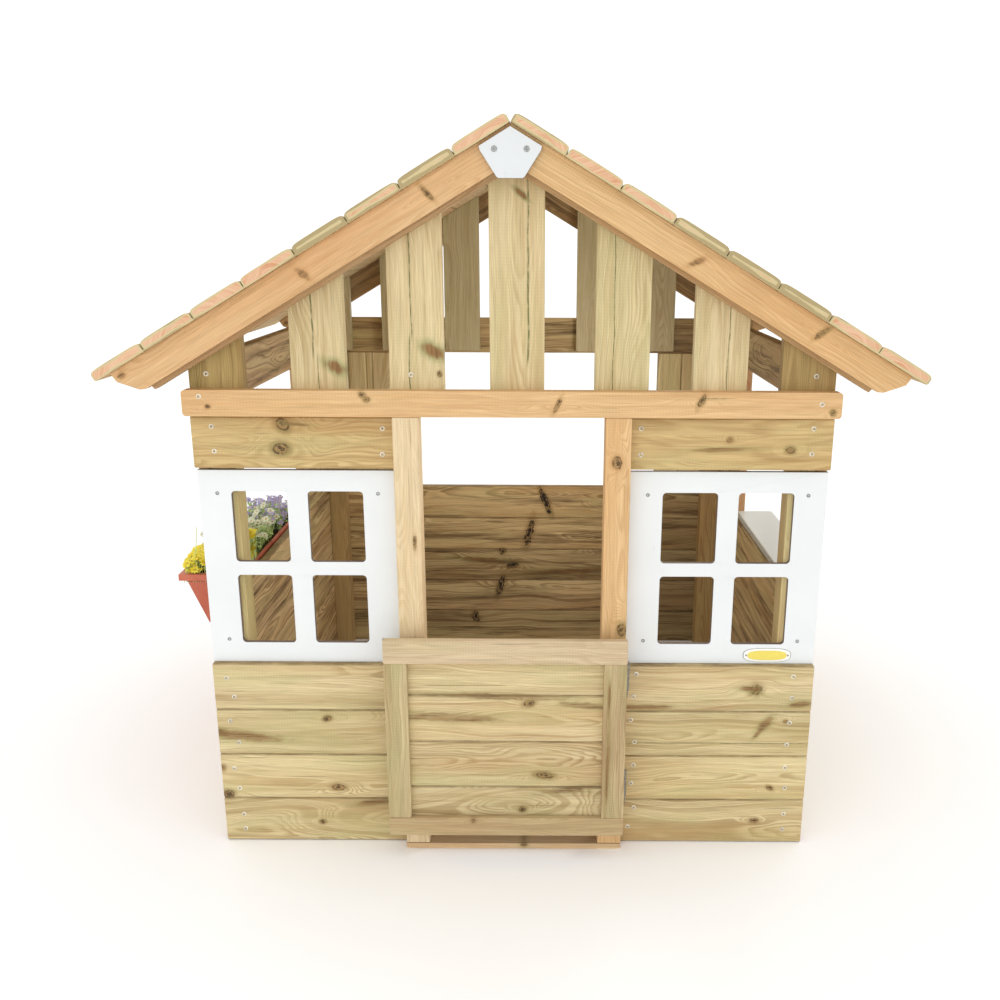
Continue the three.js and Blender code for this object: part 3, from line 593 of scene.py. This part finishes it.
corner = timber("pine_corner", 2, 0, seed=17.0, stray=0.10, pale=(208, 190, 140), ring=(164, 138, 86),
                greenness=0.5, green=(176, 170, 112))
# The back corner posts are painted darker and browner than the front ones: painted shade of the dim inside.
corner_back_shaded = timber("pine_corner_back", 2, 0, seed=18.0, stray=0.15, pale=(192, 164, 114),
                     ring=(140, 108, 66), greenness=0.15, warm=(160, 122, 78), warmth=0.5)
PAINT["front_eave_rail"] = timber(
    "pine_rail", 0, 2, seed=19.0,
    knots=((-0.328, 1.133, 0.007, 0.005, -30), (-0.319, 1.123, 0.006, 0.005, 0),
           (0.100, 1.112, 0.017, 0.005, 64), (0.706, 1.098, 0.006, 0.006, 0),
           (-0.668, 1.106, 0.005, 0.004, 0), (0.417, 1.124, 0.015, 0.006, 62)),
    lines=((1.128, 0.42, 0.48, 0.0008),),
    **ORANGE,
)


def rake(name, tilt, marks, burns, seed, shade, inside):
    """A sloping rafter or rake board; marks are its knots and burns its patches, as (x, z, ...) places."""
    tone = dict(ORANGE, pale=(216, 182, 132), ring=(180, 138, 84), warm=(204, 154, 98))
    return timber(name, 0, 2, tilt=tilt, seed=seed, knots=along_slope(marks, tilt), stain=(190, 142, 88),
                  patches=along_slope(burns, tilt), shade=shade, inside=inside, **tone)


# Spike knots run across the rakes, a little aslant.
RAKE_MARKS = (((-0.172, 1.554, 0.0045, 0.018, 14),), ((0.660, 1.273, 0.0050, 0.017, -24),))
RAKE_BURNS = (((-0.436, 1.391, 0.008, 0.020, 24), (-0.838, 1.176, 0.010, 0.007, 0)),
              ((0.388, 1.419, 0.007, 0.020, -38),))
RAKE_OUT = lo("front_rafter_left")[1]
RAFTER_IN = lo("back_rafter_left")[1]
# Painted shade: the front rakes are darker away from their front face, on the underside and ends, and the
# back rafters darker and browner on their inner board, under the roof.
front_shade = ((1, RAKE_OUT + 0.008, RAKE_OUT + 0.003, 0.76),)
back_shade = ((1, RAFTER_IN + 0.020, RAFTER_IN + 0.032, 0.70),)
for k, side, tilt in ((0, "left", SLOPE), (1, "right", -SLOPE)):
    for end, part, shade, within in (
        ("front", "", front_shade, None), ("back", "_back", back_shade, (1, -1, RAFTER_IN + 0.030)),
    ):
        PAINT[f"{end}_rafter_{side}"] = rake(
            f"pine_rake{part}_{side}", tilt, RAKE_MARKS[k], RAKE_BURNS[k], 23.0 + 4 * k, shade, within,
        )
DOOR_RAIL = dict(greenness=0.2, warmth=0.5, ring_gap=0.004, ring_depth=0.6)
PAINT["door_top_rail"] = timber(
    "pine_door_top_rail", 0, 2, seed=31.0, pale=(210, 187, 154), ring=(176, 148, 114),
    warm=(192, 158, 122), **DOOR_RAIL,
)
PAINT["door_bottom_rail"] = timber(
    "pine_door_low_rail", 0, 2, seed=32.0, pale=(198, 173, 134), ring=(154, 124, 88),
    warm=(170, 134, 92), knots=((-0.095, 0.108, 0.006, 0.005, 0),), **DOOR_RAIL,
)
STILE = dict(greenness=0.55, green=(166, 160, 110), warmth=0.5, ring_gap=0.0045)
PAINT["door_stile_left"] = timber(
    "pine_door_left_stile", 2, 0, seed=33.0, pale=(204, 186, 144), ring=(152, 126, 84),
    warm=(164, 130, 86), **STILE,
)
STILE_RIGHT = lo("door_stile_right")[0] + 0.013
PAINT["door_stile_right"] = timber(
    "pine_door_right_stile", 2, 0, seed=34.0, pale=(200, 178, 136), ring=(134, 104, 68), warm=(150, 112, 74),
    burn=0.6, patches=((0.25, STILE_RIGHT, 0.10, 0.005, 1), (0.43, STILE_RIGHT, 0.05, 0.004, 0)), **STILE,
)
PAINT["door_boards"] = timber(
    "pine_door", 0, 2, BOARD, lo("door_boards")[2], seed=61.0,
    knots=((0.039, 0.411, 0.012, 0.007, 12), (0.075, 0.222, 0.018, 0.007, -6),
           (0.022, 0.130, 0.008, 0.006, 0)),
    patches=((0.150, 0.186, 0.080, 0.010, 8), (-0.150, 0.374, 0.120, 0.013, -3),
             (-0.03, 0.428, 0.17, 0.008, -2), (0.17, 0.405, 0.07, 0.008, -4)),
    shade=((2, 0.190, 0.194, 0.93),), burn=0.5, arches=((0.0, 0.150, 0.11, 0.021, 0),), **PALE,
)
SILL_TOP = hi("threshold")[2]
# The top face of the sill is painted darker: painted shadow of the door.
PAINT["threshold"] = timber(
    "pine_sill", 0, 2, seed=39.0, patches=((0.026, 0.010, 0.010, 0.007, 0),),
    shade=((2, SILL_TOP - 0.0002, SILL_TOP - 0.0022, 0.60),),
    **dict(ORANGE, pale=(216, 194, 156), ring=(184, 152, 112)),
)
ROOF_TONE = dict(
    stray=0.12, pale=(214, 190, 146), ring=(176, 140, 96), greenness=0.5, green=(192, 182, 132),
    warm=(206, 162, 118), warmth=0.4, ring_gap=0.006, rough=0.74, sawn=0.5, spread=0.08,
    ends=(230, 190, 154), skin=(UNDER_OFFSET, ROOF_THICK),
)
# Turned so that the slope lies level, the boards of a roof half lie side by side along X.
ROOF_HEAD = ROOF_UNDER * math.sin(SLOPE) - 0.0006
PAINT["roof_left"] = timber(
    "pine_roof_left", 1, 0, ROOF_PITCH, ROOF_HEAD - ROOF_BOARDS * ROOF_PITCH, SLOPE, seed=43.0, **ROOF_TONE,
)
PAINT["roof_right"] = timber(
    "pine_roof_right", 1, 0, ROOF_PITCH, -ROOF_HEAD, -SLOPE, seed=47.0, **ROOF_TONE,
)

PAINT["front_left_window_panel"] = PAINT["front_right_window_panel"] = smooth_board(
    "white_laminate", (229, 232, 232), (132, 118, 108), 1, seed=1.0,
)
PAINT["front_apex_plate"] = PAINT["back_apex_plate"] = smooth_board(
    "white_plate", (216, 219, 219), (160, 156, 152), 1, seed=5.0,
)
PAINT["counter_shelf"] = smooth_board(
    "shelf_laminate", (228, 230, 224), (214, 214, 205), 2, seed=9.0, rough=0.3,
)
PAINT["planter"] = moulded("terracotta_plastic", (204, 112, 86), (184, 92, 68))
PAINT["planter_bracket"] = steel = zinc("zinc_plate", (150, 147, 138), 0.6)

for key in NODES:
    middle = (lo(key) + hi(key)) / 2
    if "_slat_" in key:
        PAINT[key] = slats_back if middle[1] > 0 else (slats_brown if abs(middle[0]) > 0.6 else slats)
    elif key.startswith("corner_post"):
        PAINT[key] = corner_back_shaded if middle[1] > 0 else corner
    elif key.startswith("hinge"):
        PAINT[key] = steel
    elif key not in PAINT:
        PAINT[key] = side_left if middle[0] < 0 else side_right

# How far the edges are eased (mm), by the start of a node's name.
EASED = (
    (("roof",), 1.0), (("hinge", "planter_bracket"), 0.4), (("front_apex", "back_apex"), 0.8),
    (("front_left_window", "front_right_window"), 0.8),
    (("door_top", "door_bottom", "door_stile", "door_post", "front_eave", "threshold"), 3.0),
)
for key, ob in NODES.items():
    ob.data.materials.clear()
    ob.data.materials.append(PAINT[key])
    weld = ob.modifiers.new("weld", "WELD")
    weld.merge_threshold = 0.00005
    ease = ob.modifiers.new("eased_edges", "BEVEL")
    ease.width = next((width for starts, width in EASED if key.startswith(starts)), 2.2) / 1000
    ease.segments = 2
    ease.limit_method = "ANGLE"
    ease.angle_limit = math.radians(40)
    for poly in ob.data.polygons:
        poly.use_smooth = False


# ------------------------------------------------------------------ mesh helpers
def mesh_piece(name, bm, material, body, smooth=True):
    bmesh.ops.recalc_face_normals(bm, faces=bm.faces)
    me = bpy.data.meshes.new(name)
    bm.to_mesh(me)
    bm.free()
    ob = bpy.data.objects.new(name, me)
    bpy.context.scene.collection.objects.link(ob)
    for m in material if isinstance(material, (list, tuple)) else [material]:
        me.materials.append(m)
    for poly in me.polygons:
        poly.use_smooth = smooth
    if body:
        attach(ob, body)
    return ob


def frame_towards(normal):
    """A matrix whose Z axis points along normal."""
    return normal.to_track_quat("Z", "Y").to_matrix().to_4x4()


def place_at(at, normal):
    return Matrix.Translation(Vector(at)) @ frame_towards(Vector(normal))


def circle(bm, place, radius, h, count, star=0.0):
    """A loop of vertices round the Z axis of place; star draws in every second one."""
    loop = []
    for i in range(count):
        a = 2 * math.pi * i / count
        r = radius * (1.0 - (star if i % 2 else 0.0))
        loop.append(bm.verts.new(place @ Vector((r * math.cos(a), r * math.sin(a), h))))
    return loop


def skin(bm, loops, paint):
    """Faces from each loop to the next and, if paint has an index for it, a lid on the last."""
    count = len(loops[0])
    for k in range(len(loops) - 1):
        for i in range(count):
            j = (i + 1) % count
            f = bm.faces.new((loops[k][i], loops[k][j], loops[k + 1][j], loops[k + 1][i]))
            f.material_index = paint[k]
    if len(paint) == len(loops):
        f = bm.faces.new(loops[-1])
        f.material_index = paint[-1]


def add_screw(bm, at, normal, radius=0.0042):
    """A pan head with a raised rim, a dished top and a star socket."""
    place = place_at(at, normal)
    loops = []
    for share, h, star in (
        (1.0, 0.0, 0), (1.0, 0.0006, 0), (0.86, 0.0013, 0),
        (0.62, 0.0015, 0.18), (0.55, 0.0012, 0.18), (0.50, -0.0004, 0.18),
    ):
        loops.append(circle(bm, place, radius * share, h, 16, star))
    skin(bm, loops, (0, 0, 0, 1, 1, 1))


def add_cap(bm, at, normal, radius):
    """A flat round cap with a bevelled rim and a shallow dimple."""
    place = place_at(at, normal)
    rings = ((1.0, 0.0), (1.0, 0.0008), (0.90, 0.0013), (0.24, 0.0014), (0.14, 0.0006))
    skin(bm, [circle(bm, place, radius * share, h, 24) for share, h in rings], (0, 0, 0, 0, 0))


def socket_shade():
    t = Tree("screw_socket")
    p = t.coords()
    n = t.noise(p, 300.0, 2.0)
    return t.finish(t.mix(n, (176, 162, 132), (140, 126, 100)), 0.6, None, Metallic=0.1)


# screw_core and panel_core colour the dished tops and sockets of the screw heads darker than their rims:
# painted shade in the recess.
screw_head = zinc("screw_head", (238, 233, 216), 0.08)
panel_screw = zinc("panel_screw", (170, 172, 170), 0.3)
screw_core = socket_shade()
panel_core = zinc("panel_core", (134, 136, 134), 0.3)

# ------------------------------------------------------------------ screws
FRONT, BACK = (0, -1, 0), (0, 1, 0)
HEADS = (screw_head, screw_core)
PAIR = (0.036, 0.084)  # the two screws at a board's end, up from its lower edge
INSET = 0.028  # from a side wall's end, or from the front and back faces, to the screws
TOP_ROW = 9  # the eave boards' place, counted in boards from the ground
dice = random.Random(11)
outer = hi("front_right_lower_boards")[0] - 0.046
inner = hi("door_post_right")[0] + 0.026


def jitter(k):
    return dice.uniform(-k, k)


# Listed two to a board: how far each lies (mm) from the column of screws and up from the
# lower edge of the lowest board.
LOWER_LEFT = ((2, 34), (1, 75), (-4, 148), (-14, 202), (3, 273), (-14, 330), (1, 395), (-14, 444))
LOWER_RIGHT = ((-2, 38), (-2, 82), (-4, 155), (-7, 211), (-7, 273), (-4, 332), (-3, 398), (-3, 454))
LOWER_INNER = ((-7, 44), (7, 98), (-2, 166), (3, 216), (4, 279), (-7, 338), (-2, 400), (3, 459))
spots = [
    (x + dx / 1000, FACE_Y, W0 + dz / 1000)
    for x, column in ((-outer, LOWER_LEFT), (outer, LOWER_RIGHT), (inner, LOWER_INNER))
    for dx, dz in column
]
for half_board in range(8):
    spots.append((-inner + jitter(0.005), FACE_Y, W0 + half_board * BOARD / 2 + 0.034 + jitter(0.005)))
UPPER_Z = lo("front_left_upper_board")[2]
for x in (-outer, -inner, inner, outer):
    for dz in (0.037, 0.096):
        spots.append((x + jitter(0.003), FACE_Y, UPPER_Z + dz + jitter(0.003)))
# On the eave rail, and on three slats above it.
RAIL_Y, RAIL_Z = lo("front_eave_rail")[1:]
spots += [(x, RAIL_Y, RAIL_Z + dz) for x, dz in ((-0.686, 0.044), (0.680, 0.032))]
spots += [(x, FACE_Y, RAIL_Z + 0.090) for x in (-0.675, -0.223, 0.671)]
bm = bmesh.new()
for at in spots:
    add_screw(bm, at, FRONT, 0.0058)
mesh_piece("front_screws", bm, HEADS, "house")

# One at each corner of a window panel, and two caps on each apex plate.
PANEL_Y, PZ0 = lo("front_left_window_panel")[1:]
PZ1 = hi("front_left_window_panel")[2]
PX0, PX1 = -hi("front_left_window_panel")[0], -lo("front_left_window_panel")[0]
bm = bmesh.new()
for side in (-1, 1):
    for x in (PX0 + 0.044, PX1 - 0.042):
        for z in (PZ0 + 0.058, PZ1 - 0.055):
            add_screw(bm, (side * x, PANEL_Y, z), FRONT, 0.0044)
CAP_Z = hi("front_apex_plate")[2] - 0.043
for x in (-0.033, 0.033):
    add_cap(bm, (x, lo("front_apex_plate")[1], CAP_Z), FRONT, 0.0062)
    add_cap(bm, (x, hi("back_apex_plate")[1], CAP_Z), BACK, 0.0062)
mesh_piece("panel_screws", bm, (panel_screw, panel_core), "house")

# Screws of the side and back walls, one pair at each board end.
bm = bmesh.new()
Y0, Y1 = lo("left_wall_boards")[1], hi("left_wall_boards")[1]
X1 = hi("right_wall_boards")[0]
for side in (-1, 1):
    for row in range(TOP_ROW + 1):
        for y in (Y0 + INSET, Y1 - INSET):
            if row == TOP_ROW and y > 0:
                y -= INSET
            for dz in PAIR:
                at = (side * X1, y + jitter(0.004), row * BOARD + dz + jitter(0.004))
                add_screw(bm, at, (side, 0, 0))
for row in [*range(5), TOP_ROW]:
    for side in (-1, 1):
        for dz in PAIR:
            x = side * (0.662 + jitter(0.005))
            add_screw(bm, (x, BACK_Y, row * BOARD + dz + jitter(0.004)), BACK)
for node in ("back_left_side_boards", "back_right_side_boards"):
    a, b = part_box(node)
    wide, low, high = (b[0] - a[0]) / 3, a[2] + 0.03, b[2] - 0.03
    for k in range(3):
        for dx, z in ((0.3, low), (0.7, low), (0.3, high), (0.7, high)):
            add_screw(bm, (a[0] + (k + dx) * wide, b[1], z + jitter(0.004)), BACK)
mesh_piece("wall_screws", bm, HEADS, "house")

# Roof nails: two at each rafter on every board.
bm = bmesh.new()
for side in (-1, 1):
    n = Vector((side * math.sin(SLOPE), 0, math.cos(SLOPE)))
    for row in range(ROOF_BOARDS):
        for ds in (0.036, 0.092):
            s = row * ROOF_PITCH + ds
            x = s * math.cos(SLOPE) + ROOF_THICK * math.sin(SLOPE)
            z = ROOF_UNDER - s * math.sin(SLOPE) + ROOF_THICK * math.cos(SLOPE)
            for y in (FACE_Y - INSET, BACK_Y + INSET):
                add_screw(bm, (side * x, y + jitter(0.004), z), n, 0.0036)
mesh_piece("roof_nails", bm, HEADS, "house")

# Door: screws from behind, through the boards into the stiles and rails.
bm = bmesh.new()
DOOR_BACK = hi("door_boards")[1]
for x in (lo("door_boards")[0] + 0.029, hi("door_boards")[0] - 0.029):
    for z in (0.18, 0.26, 0.38, 0.46):
        add_screw(bm, (x + jitter(0.006), DOOR_BACK, z), BACK, 0.004)
for x in (-0.2, 0.17):
    for z in (lo("door_top_rail")[2] + 0.02, hi("door_bottom_rail")[2] - 0.02):
        add_screw(bm, (x, DOOR_BACK, z), BACK, 0.004)
mesh_piece("door_screws", bm, HEADS, "door")

# Hinge screws, two by two on each leaf of the door.
bm = bmesh.new()
for node in ("hinge_lower_door_leaf", "hinge_upper_door_leaf"):
    a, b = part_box(node)
    for z in (a[2] + 0.014, b[2] - 0.014):
        for y in (a[1] + 0.012, a[1] + 0.034):
            add_screw(bm, (a[0] + 0.002, y, z), (1, 0, 0), 0.0028)
mesh_piece("door_hinge_screws", bm, (zinc("hinge_screw"), screw_core), "door")

# ------------------------------------------------------------------ nameplate
def add_oval(bm, cx, cz, rx, rz, y0, y1, material_index):
    """A low pad whose outline is between an ellipse and a rectangle."""
    power, count = 2.9, 48
    loops = []
    for share, y in ((1.0, y0), (1.0, y1 + 0.0003), (0.97, y1)):
        loop = []
        for i in range(count):
            a = 2 * math.pi * i / count
            c, s = math.cos(a), math.sin(a)
            x = math.copysign(abs(c) ** (2 / power), c) * rx * share
            z = math.copysign(abs(s) ** (2 / power), s) * rz * share
            loop.append(bm.verts.new((cx + x, y, cz + z)))
        loops.append(loop)
    skin(bm, loops, (material_index,) * 3)


# A pale pad with a grey edge line, and a yellow one on it.
bm = bmesh.new()
plate_x, plate_z = (PX0 + PX1) / 2 + 0.115, PZ0 + 0.022
plate_rx, plate_rz = 0.0575, 0.0180
for k, (grow, rise) in enumerate(((0.0, 0.0010), (-0.0013, 0.0014), (-0.0105, 0.0020))):
    add_oval(bm, plate_x, plate_z, plate_rx + grow, plate_rz + grow * 0.55, PANEL_Y, PANEL_Y - rise, k)
t = Tree("nameplate_yellow")
n = t.noise(t.coords(), 120.0, 3.0)
yellow = t.finish(t.mix(n, (238, 222, 110), (228, 206, 84)), 0.4, t.bump(n, 0.05, 0.0002))
pad = smooth_board("nameplate_base", (244, 244, 238), (190, 190, 186), 1, seed=3.0)
mesh_piece("nameplate", bm, (zinc("nameplate_edge", (150, 148, 138), 0.2), pad, yellow), "house", False)
bm = bmesh.new()
for x in (-0.050, 0.050):
    add_cap(bm, (plate_x + x, PANEL_Y - 0.0013, plate_z), FRONT, 0.0022)
mesh_piece("nameplate_pins", bm, panel_screw, "house")

# ------------------------------------------------------------------ planter: soil and flowers
PA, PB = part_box("planter")
WALL_X = lo("left_wall_boards")[0] - 0.002  # flowers stay on this side of the wall


def leaf_material(name, a, b, rough=0.55):
    t = Tree(name)
    p = t.coords()
    n = t.noise(p, 90.0, 3.0, 0.6)
    vein = t.noise(p, 500.0, 2.0, 0.6)
    base = t.mix(t.ease(n, 0.3, 0.7), a, b)
    base = t.tint(base, 0.5, t.ease(vein, 0.3, 0.7, 0.9, 1.08))
    dull = t.ease(vein, 0.3, 0.7, rough - 0.08, rough + 0.08)
    return t.finish(base, dull, t.bump(vein, 0.2, 0.0005))


soil_mat = leaf_material("potting_soil", (62, 46, 34), (38, 28, 20), 0.9)
pale_leaf = leaf_material("leaf_pale", (220, 236, 168), (180, 212, 122))
petal_yellow = leaf_material("petal_yellow", (255, 246, 104), (255, 230, 40))
petal_purple = leaf_material("petal_purple", (206, 198, 236), (160, 150, 212))
petal_white = leaf_material("petal_white", (252, 253, 238), (230, 238, 200))
eye_mat = leaf_material("flower_eye", (226, 196, 60), (190, 150, 40))

bm = bmesh.new()
nx, ny = 10, 40
x0, x1 = PA[0] + 0.014, PB[0] - 0.011
y0, y1 = PA[1] + 0.014, PB[1] - 0.014
level = PB[2] - 0.022
grid = []
dice = random.Random(5)
for j in range(ny + 1):
    row = []
    for i in range(nx + 1):
        rim_x = min(i, nx - i) == 0 or min(j, ny - j) == 0
        z = level - (0.004 if rim_x else 0.0) + dice.uniform(-0.003, 0.004)
        row.append(bm.verts.new((x0 + (x1 - x0) * i / nx, y0 + (y1 - y0) * j / ny, z)))
    grid.append(row)
for j in range(ny):
    for i in range(nx):
        bm.faces.new((grid[j][i], grid[j][i + 1], grid[j + 1][i + 1], grid[j + 1][i]))
mesh_piece("planter_soil", bm, soil_mat, "planter")


def add_leaf(bm, base, direction, length, width, droop):
    """A pointed leaf of six faces, folded along its rib."""
    d = Vector(direction).normalized()
    side = d.cross(Vector((0, 0, 1)))
    if side.length < 1e-3:
        side = Vector((1, 0, 0))
    side.normalize()
    up = side.cross(d).normalized()
    rib, left, right = [], [], []
    for k, (share, wide) in enumerate(((0.0, 0.12), (0.35, 1.0), (0.7, 0.75), (1.0, 0.03))):
        at = Vector(base) + d * length * share - Vector((0, 0, 1)) * droop * length * share * share
        rib.append(bm.verts.new(at))
        lift = up * width * wide * 0.25
        left.append(bm.verts.new(at + side * width * wide * 0.5 + lift))
        right.append(bm.verts.new(at - side * width * wide * 0.5 + lift))
    for k in range(3):
        for a, b in ((rib, left), (right, rib)):
            bm.faces.new((a[k], a[k + 1], b[k + 1], b[k]))


# One petal's outline: turn from its middle, share of the flower's radius, and rise.
PETAL = ((-0.10, 0.18, 0.0), (-0.42, 0.62, 0.25), (-0.20, 1.0, 0.18),
         (0.20, 1.0, 0.18), (0.42, 0.62, 0.25), (0.10, 0.18, 0.0))


def add_flower(bm, at, facing, radius, petals):
    """A ring of petals round a raised eye."""
    place = place_at(at, facing)
    for i in range(petals):
        a = 2 * math.pi * i / petals + dice.uniform(-0.15, 0.15)
        ring = []
        for turn, r, h in PETAL:
            b = a + turn * (5.0 / petals) * 1.6
            spot = Vector((math.cos(b) * r * radius, math.sin(b) * r * radius, h * radius))
            ring.append(bm.verts.new(place @ spot))
        bm.faces.new(ring).material_index = 1
    centre = bm.verts.new(place @ Vector((0, 0, radius * 0.32)))
    ring = circle(bm, place, radius * 0.24, radius * 0.1, 8)
    for i in range(8):
        bm.faces.new((ring[i], ring[(i + 1) % 8], centre)).material_index = 2


def add_stem(bm, a, b, radius):
    """A thin three-sided rod without ends."""
    a, b = Vector(a), Vector(b)
    turn = frame_towards((b - a).normalized())
    corners = [turn @ Vector((radius * math.cos(q), radius * math.sin(q), 0)) for q in (0, 2.1, 4.2)]
    skin(bm, [[bm.verts.new(at + corner) for corner in corners] for at in (a, b)], (0,))


def plant(name, y_from, y_to, height, lean, blooms, radius, petals, petal, leaves, taper=0.0):
    """A clump: stems from the soil, leaves along them and flowers on top."""
    bm = bmesh.new()
    xa, xb = x0 + 0.012, x1 - 0.012
    for k in range(blooms + leaves):
        bx, by = dice.uniform(xa, xb), dice.uniform(y_from, y_to)
        tall = height * dice.uniform(0.40, 1.0) * (1.0 - taper * (by - y_from) / (y_to - y_from))
        tx = max(bx + lean * dice.uniform(-1, 1), PA[0] + radius)
        tx = min(tx, WALL_X - radius)
        ty = min(max(by + dice.uniform(-0.03, 0.03), PA[1] + 0.01), PB[1] - 0.01)
        tip = Vector((tx, ty, level + tall))
        base = Vector((bx, by, level - 0.004))
        if k < blooms:
            add_stem(bm, base, tip, 0.0011)
            face = Vector((dice.uniform(-0.5, 0.5), dice.uniform(-0.9, 0.2), 1.0)).normalized()
            add_flower(bm, tip, face, radius * dice.uniform(0.75, 1.1), petals)
        way = Vector((dice.uniform(-1, 1), dice.uniform(-1, 1), dice.uniform(0.1, 1.0)))
        at = base.lerp(tip, dice.uniform(0.25, 0.9))
        room = min(at.x - PA[0], WALL_X - at.x)
        add_leaf(bm, at, way, min(0.045, max(room, 0.014)) * dice.uniform(0.5, 0.9), 0.014, 0.35)
    mesh_piece(name, bm, (pale_leaf, petal, eye_mat), "planter")


GOLDEN = 0.6180339  # steps of this share spread points evenly


def mound(name, y_from, y_to, height, count, radius, petal, spikes):
    """A tight dome of blossoms that hides its own stems, with a few bare stems above it."""
    bm = bmesh.new()
    xa, xb = PA[0] + 0.010, WALL_X - 0.001
    for k in range(count):
        f, g = (k + 0.5) / count, (k * GOLDEN) % 1.0
        bx, by = xa + (xb - xa) * f, y_from + (y_to - y_from) * g
        rise = 0.52 + 0.48 * f
        swell = 0.84 + 0.16 * math.sin(math.pi * min(1.0, g * 1.15))
        low = dice.uniform(0.3, 1.0) if k % 2 else dice.uniform(0.85, 1.0)
        tip = Vector((min(max(bx, xa + radius), xb - radius), by, level + height * rise * swell * low))
        add_stem(bm, (bx, by, level - 0.004), tip, 0.0010)
        face = Vector((dice.uniform(-0.7, 0.3), dice.uniform(-1.2, -0.1), 1.0)).normalized()
        add_flower(bm, tip, face, radius * dice.uniform(0.75, 1.15), 9)
        if k % 3 == 0:
            way = Vector((dice.uniform(-1, 0.4), dice.uniform(-1, 0.4), 0.4))
            add_leaf(bm, tip - Vector((0, 0, 0.012)), way, 0.020, 0.010, 0.3)
    for k in range(spikes):
        bx, by = dice.uniform(xa + 0.02, xb - 0.03), dice.uniform(y_from, y_to)
        top = Vector((min(bx + 0.02, xb - 0.006), by, level + height * dice.uniform(1.05, 1.35)))
        add_stem(bm, (bx, by, level), top, 0.0012)
    mesh_piece(name, bm, (pale_leaf, petal, eye_mat), "planter")


START = PA[1]
mound("yellow_flowers", START + 0.010, START + 0.155, 0.122, 460, 0.0115, petal_yellow, 9)
plant("white_flowers", START + 0.16, START + 0.38, 0.110, 0.03, 230, 0.0105, 6, petal_white, 60)
plant("purple_flowers", START + 0.32, START + 0.64, 0.128, 0.035, 190, 0.009, 5, petal_purple, 50, 0.45)

# ------------------------------------------------------------------ floor, light and camera
bm = bmesh.new()
bmesh.ops.create_grid(bm, x_segments=2, y_segments=2, size=60.0)
t = Tree("studio_floor")
n = t.noise(t.coords(), 3.0, 2.0)
floor_mat = t.finish(t.mix(n, (254, 254, 254), (252, 252, 252)), 0.9, None, Specular_IOR_Level=0.05)
floor = mesh_piece("studio_floor", bm, floor_mat, None, False)

world = bpy.data.worlds.new("studio")
bpy.context.scene.world = world
world.use_nodes = True
world.node_tree.nodes["Background"].inputs[0].default_value = (1.0, 1.0, 1.0, 1.0)
world.node_tree.nodes["Background"].inputs[1].default_value = 1.15


def area(name, at, look, size, power):
    data = bpy.data.lights.new(name, "AREA")
    data.shape = "SQUARE"
    data.size = size
    data.energy = power
    ob = bpy.data.objects.new(name, data)
    ob.location = at
    ob.rotation_mode = "QUATERNION"
    ob.rotation_quaternion = (Vector(look) - Vector(at)).to_track_quat("-Z", "Y")
    bpy.context.scene.collection.objects.link(ob)
    return ob


area("key", (-1.2, -5.0, 2.6), (0, 0, 0.8), 3.0, 22)

# A weak lamp under the roof lights the inside of the left wall, as it is lit in the photo.
fill = area("fill", (0.52, -0.20, 1.12), (-0.48, 0.05, 0.78), 0.4, 4.6)
fill.visible_camera = False

# The photo's camera, fitted to the walls: near, above the eaves and looking 15 degrees down.
cam_data = bpy.data.cameras.new("camera")
cam = bpy.data.objects.new("camera", cam_data)
bpy.context.scene.collection.objects.link(cam)
cam_data.sensor_width = 36.0
cam_data.lens = 35.06
cam_data.shift_x = -0.0425
cam.location = (0.068, FACE_Y - 2.145, 1.4640)
cam.rotation_mode = "QUATERNION"
pitch_turn = Matrix.Rotation(math.radians(75.0), 4, "X")
roll_turn = Matrix.Rotation(math.radians(0.25), 4, "Z")
cam.rotation_quaternion = (pitch_turn @ roll_turn).to_quaternion()
bpy.context.scene.camera = cam
bpy.context.scene.view_settings.view_transform = "Standard"
bpy.context.scene.view_settings.look = "None"

bpy.context.view_layer.update()
